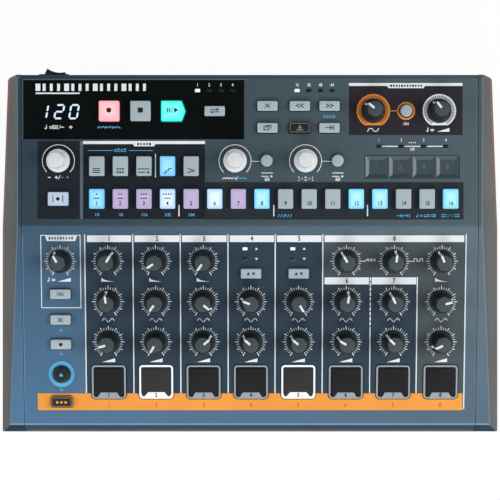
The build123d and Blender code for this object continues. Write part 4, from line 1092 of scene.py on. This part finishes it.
# knob scales and their signs
scale = {"count": 31, "pitch": 10, "inner": 7.6, "outer": 9.15, "extra": 0.9, "major": 3, "bold": 1.4,
         "pen": 0.37}
rowSigns = {"upper": "decay", "middle": "wave", "lower": "level"}
sideSigns = {"channel_6_upper_knob": "saw", "channel_7_upper_knob": "pulse"}
for name in potNames:
    deck, x, s, _ = knobPlace(name)
    if deck == "upper":
        continue
    scaleOn("printWhite", x, s, deck, scale)
    if name == "metronome_knob":
        marks = [("note", 2.4, 0.5, (x - 5.2, s - 11.6)), ("level", 2.4, 0, (x + 2.4, s - 11.6))]
    elif name in sideSigns:
        printed("printWhite", deck, lines=[(0.4, (x + 9.8, s, x + 11.6, s))])
        marks = [(sideSigns[name], 2.0, 0.55, (x + 14.6, s + 0.8))]
    else:
        marks = [(rowSigns[name.split("_")[2]], 2.4, 0.6, (x, s - 11.6))]
    printed("printWhite", deck, marks=marks)

# the rear wall: plain signs over the sockets
printed("printWhite", "rear", rings=[(98.0, 25.4, 0.9, 1.2)],
        marks=[("swap", 2.2, 0.4, (76.0, 27.4)), ("down", 2.2, 0, (50.0, 27.4)), ("up", 2.2, 0, (24.0, 27.4)),
               ("level", 2.2, 0, (-40.0, 25.6), (-64.0, 25.6)), ("note", 2.2, 0.5, (-88.0, 25.6))])
shapeOn("printWhite", "rear", 98.0, 25.4, disc(0.4, *level("printWhite"), steps=12))
print("printing drawn")

for name, shape in prints.items():
    piece(name + "Areas", shape, "chassis", [name])

# three slanted digits behind the window; a segment's ends are columns and rows of one digit
digits = {"columns": (-128.35, -118.45, -109.3), "row": 71.0, "width": 4.8, "height": 8.3, "pen": 1.1,
          "slant": 10.0, "shown": "120", "gap": 0.5}
segments = {"a": ((-1, 1), (1, 1)), "b": ((1, 1), (1, 0)), "c": ((1, 0), (1, -1)), "d": ((-1, -1), (1, -1)),
            "e": ((-1, 0), (-1, -1)), "f": ((-1, 1), (-1, 0)), "g": ((-1, 0), (1, 0))}
lettering = {"0": "abcdef", "1": "bc", "2": "abged"}
slanted = Matrix.Shear("XZ", 4, (0, 0))
slanted[0][1] = math.tan(math.radians(digits["slant"]))
digitShape = bmesh.new()
for column, value in zip(digits["columns"], digits["shown"]):
    for name in lettering[value]:
        start, end = [(x * digits["width"] / 2, y * digits["height"] / 2) for x, y in segments[name]]
        half, pen = (math.dist(start, end) - digits["gap"]) / 2, digits["pen"] / 2
        shape = raised(outline([(-half, 0), (-half + pen, -pen), (half - pen, -pen), (half, 0),
                                (half - pen, pen), (-half + pen, pen)]), -0.02, 0.03)
        add(digitShape, along(start, end, shape), on("upper", column, digits["row"]) @ slanted)
piece("displayDigits", digitShape, "chassis", ["digit"])

# what a socket shows: metal where the plug's shell or sleeve meets it, dark plastic elsewhere
socket = {"jackFront": -1.5, "jackBore": 4, "shellInner": 6.4, "shellOuter": 7.6, "tongue": (3.0, 1.8),
          "tongueFoot": -9.2, "pin": 1.2}
socketWidths = {"inlet": (0, 11.2), "usb": (11.5, 12.5), "jack": (14, 16), "din": (18.9, 99)}
sockets = islandsOf("rear_sockets", "rear")
shape = mergedCopy("rear_sockets")
intoRear = decks["rear"].inverted()
for face in shape.faces:
    spot = intoRear @ face.calc_center_median()
    low, high = next(box for box in sockets if box[0].x - 0.1 <= spot.x <= box[1].x + 0.1)
    width, away = high.x - low.x, spot - (low + high) / 2
    kind = next((label for label, (least, most) in socketWidths.items() if least < width < most), None)
    reach, isMetal = away.xy.length, False
    if kind == "jack":
        isMetal = spot.z > 0.02 or spot.z > socket["jackFront"] and reach < socket["jackBore"]
    elif kind == "din" and high.z < 1:
        isMetal = abs(face.normal.y) < 0.5 and socket["shellInner"] < reach < socket["shellOuter"]
    elif kind == "usb":
        inTongue = abs(away.x) < socket["tongue"][0] and abs(away.y) < socket["tongue"][1]
        isMetal = spot.z > socket["tongueFoot"] and not inTongue
    elif kind == "inlet":
        isMetal = reach < socket["pin"]
    face.material_index = int(isMetal)
piece("rearSockets", shape, "chassis", ["dark", "nickel"], ["rear_sockets"], smooth=30)

# the power rocker, with a bar on one side of its dish and a ring on the other
rocker = {"halfChord": 5.73, "corner": 5.94, "dish": 1.3, "rest": 12.0, "mark": 3.3, "height": 3.4,
          "pen": 0.6, "ring": 1.2, "ink": (-0.2, 0.05)}
dishRadius = (rocker["halfChord"] ** 2 + rocker["dish"] ** 2) / (2 * rocker["dish"])
dishCentre = rocker["corner"] - rocker["dish"] + dishRadius
pivot = Matrix.Translation(joints["power_rocker_turn"]["pos_m"])
tilted = pivot @ Matrix.Rotation(-math.radians(rocker["rest"]), 4, "Z") @ world
shape = mergedCopy("power_rocker")
for side, mark in ((1, plate(rocker["pen"], rocker["height"], *rocker["ink"])),
                   (-1, arc(rocker["ring"], rocker["ring"] + rocker["pen"], *rocker["ink"], steps=32))):
    lean = math.asin(side * rocker["mark"] / dishRadius)
    sine, cosine = math.sin(lean), math.cos(lean)
    spot = (dishRadius * sine, dishCentre - dishRadius * cosine, 0)
    facing = Matrix(((-cosine, 0, -sine), (-sine, 0, cosine), (0, 1, 0))).to_4x4()
    add(shape, mark, tilted @ Matrix.Translation(spot) @ facing, material=1)
piece("powerRockerCap", shape, "power_rocker", ["dark", "pointer"], ["power_rocker"],
      smooth=30)

# feet with a soft rim and a shallow ring, and case screws with a hex socket
feet, screws = bmesh.new(), bmesh.new()
for low, high in islandsOf("rubber_feet", "base"):
    radius, top = (high.x - low.x) / 2, high.z
    add(feet, turned([(0, 0.5), (radius - 2.6, 0.5), (radius - 2.1, 0.02), (radius - 1.2, 0.02),
                      (radius - 0.3, 0.5), (radius, 1.4), (radius, top), (0, top)]),
        on("base", *keyCentre((low, high))))
piece("rubberFeet", feet, "chassis", ["rubber"], ["rubber_feet"])
screw = {"head": 1.6, "shank": 1.4, "socket": 1.25, "deep": 1.1}
bore, deep, flat = screw["socket"], screw["deep"], math.pi / 6
for low, high in islandsOf("case_screws", "base"):
    middle, isUpright = (low + high) / 2, high.x - low.x < 8
    radius, length = (high.y - low.y) / 2, (high.z - low.z if isUpright else high.x - low.x)
    shape = turned([(0, -deep), (bore, -deep), (bore, -0.1), (bore + 0.1, 0), (radius - 0.5, 0),
                    (radius, -0.5), (radius, -screw["head"]), (screw["shank"], -screw["head"]),
                    (screw["shank"], -length), (0, -length)])
    for vert in shape.verts:
        angle = math.atan2(vert.co.y, vert.co.x)
        if 0.1 < vert.co.xy.length < bore + 0.05 and vert.co.z > -deep - 0.05:
            vert.co.xy = vert.co.xy * (math.cos(flat) / math.cos(angle % (2 * flat) - flat))
    if isUpright:
        facing = Matrix.Translation((middle.x, middle.y, low.z)) @ Matrix.Rotation(math.pi, 4, "X")
    else:
        side, headX = (-1, low.x) if middle.x > 0 else (1, high.x)
        facing = Matrix.Translation((headX, middle.y, middle.z)) @ Matrix.Rotation(side * math.pi / 2, 4, "Y")
    add(screws, shape, world @ facing)
piece("caseScrews", screws, "chassis", ["steel"], ["case_screws"], smooth=30)
print("rear and underside ready")

# a plain pale floor: it bounces little light up at the object, and looks white itself
floorLook = {"half": 3.0, "bounce": (118, 119, 121), "seen": (252, 252, 252), "glow": 0.95}
floorMesh = bpy.data.meshes.new("floor")
floorShape = bmesh.new()
bmesh.ops.create_grid(floorShape, x_segments=1, y_segments=1, size=floorLook["half"])
floorShape.to_mesh(floorMesh)
floorShape.free()
floorObject = bpy.data.objects.new("floor", floorMesh)
scene.collection.objects.link(floorObject)
paper = bpy.data.materials.new("paper")
paper.use_nodes = True
tree = paper.node_tree
paperShader = tree.nodes["Principled BSDF"]
paperShader.inputs["Roughness"].default_value = 0.9
paperShader.inputs["Specular IOR Level"].default_value = 0.1


def seenShare(share):
    # how much of the plain white the camera, reflections and glass see
    rays = built(tree, "LightPath", {})
    total = rays["Is Camera Ray"]
    for label in ("Is Glossy Ray", "Is Transmission Ray"):
        total = reckoned(tree, "ADD", total, rays[label], clamped=True)
    return mapped(tree, total, 0, 1, 0, share)


feed(tree, mixColors(tree, seenShare(1.0), tone(*floorLook["bounce"]), tone(*floorLook["seen"])),
     paperShader.inputs["Base Color"])
white = built(tree, "Emission", {"Strength": 1.0})
blend = built(tree, "MixShader", {0: seenShare(floorLook["glow"]), 1: paperShader.outputs["BSDF"],
                                  2: white[0]})
feed(tree, blend["Shader"], tree.nodes["Material Output"].inputs["Surface"])
floorMesh.materials.append(paper)
print("floor ready")

# a studio with pale walls at both sides, a dim ceiling and front, and a dark rear
studio = {"walls": (255, 255, 255), "ceiling": (64, 66, 70), "front": (150, 152, 156), "rear": (30, 31, 33)}
sky = scene.world = bpy.data.worlds.new("studio")
sky.use_nodes = True
tree, background = sky.node_tree, sky.node_tree.nodes["Background"].inputs
x, y, z = axes(tree, "Generated")
sideways = mapped(tree, reckoned(tree, "ABSOLUTE", x), 0.25, 0.8, smooth=True)
rearward, upward = mapped(tree, y, -0.5, 0.5, smooth=True), mapped(tree, z, 0.45, 0.85, smooth=True)
shown = mixColors(tree, rearward, tone(*studio["front"]), tone(*studio["rear"]))
shown = mixColors(tree, sideways, shown, tone(*studio["walls"]))
feed(tree, mixColors(tree, upward, shown, tone(*studio["ceiling"])), background["Color"])
background["Strength"].default_value = 1.0

# soft lights aimed at the middle of the table: place, width and length, power
lights = {"rightLight": ((1.0, -0.15, 0.95), (0.8, 0.5), 9.5),
          "leftLight": ((-1.2, -0.2, 0.75), (0.8, 0.5), 5.5),
          "frontLight": ((0.1, -1.2, 0.95), (0.6, 0.4), 9)}
for name, (place, size, power) in lights.items():
    lamp = bpy.data.lights.new(name, "AREA")
    lamp.shape, lamp.size, lamp.size_y, lamp.energy = "RECTANGLE", *size, power
    holder = bpy.data.objects.new(name, lamp)
    holder.location = place
    holder.rotation_euler = (-Vector(place)).to_track_quat("-Z", "Y").to_euler()
    scene.collection.objects.link(holder)

camera = {"lens": 98.53, "row": -14.9, "height": 850, "tilt": 3.0}
cameraData = bpy.data.cameras.new("camera")
cameraData.lens, cameraData.sensor_width = camera["lens"], 36.0
cameraObject = bpy.data.objects.new("camera", cameraData)
cameraObject.location = decks["upper"] @ Vector((0, camera["row"], camera["height"]))
cameraObject.rotation_euler = (math.radians(camera["tilt"]), 0, 0)
scene.collection.objects.link(cameraObject)
scene.camera = cameraObject
scene.view_settings.view_transform = "Standard"
print("lights and camera ready")
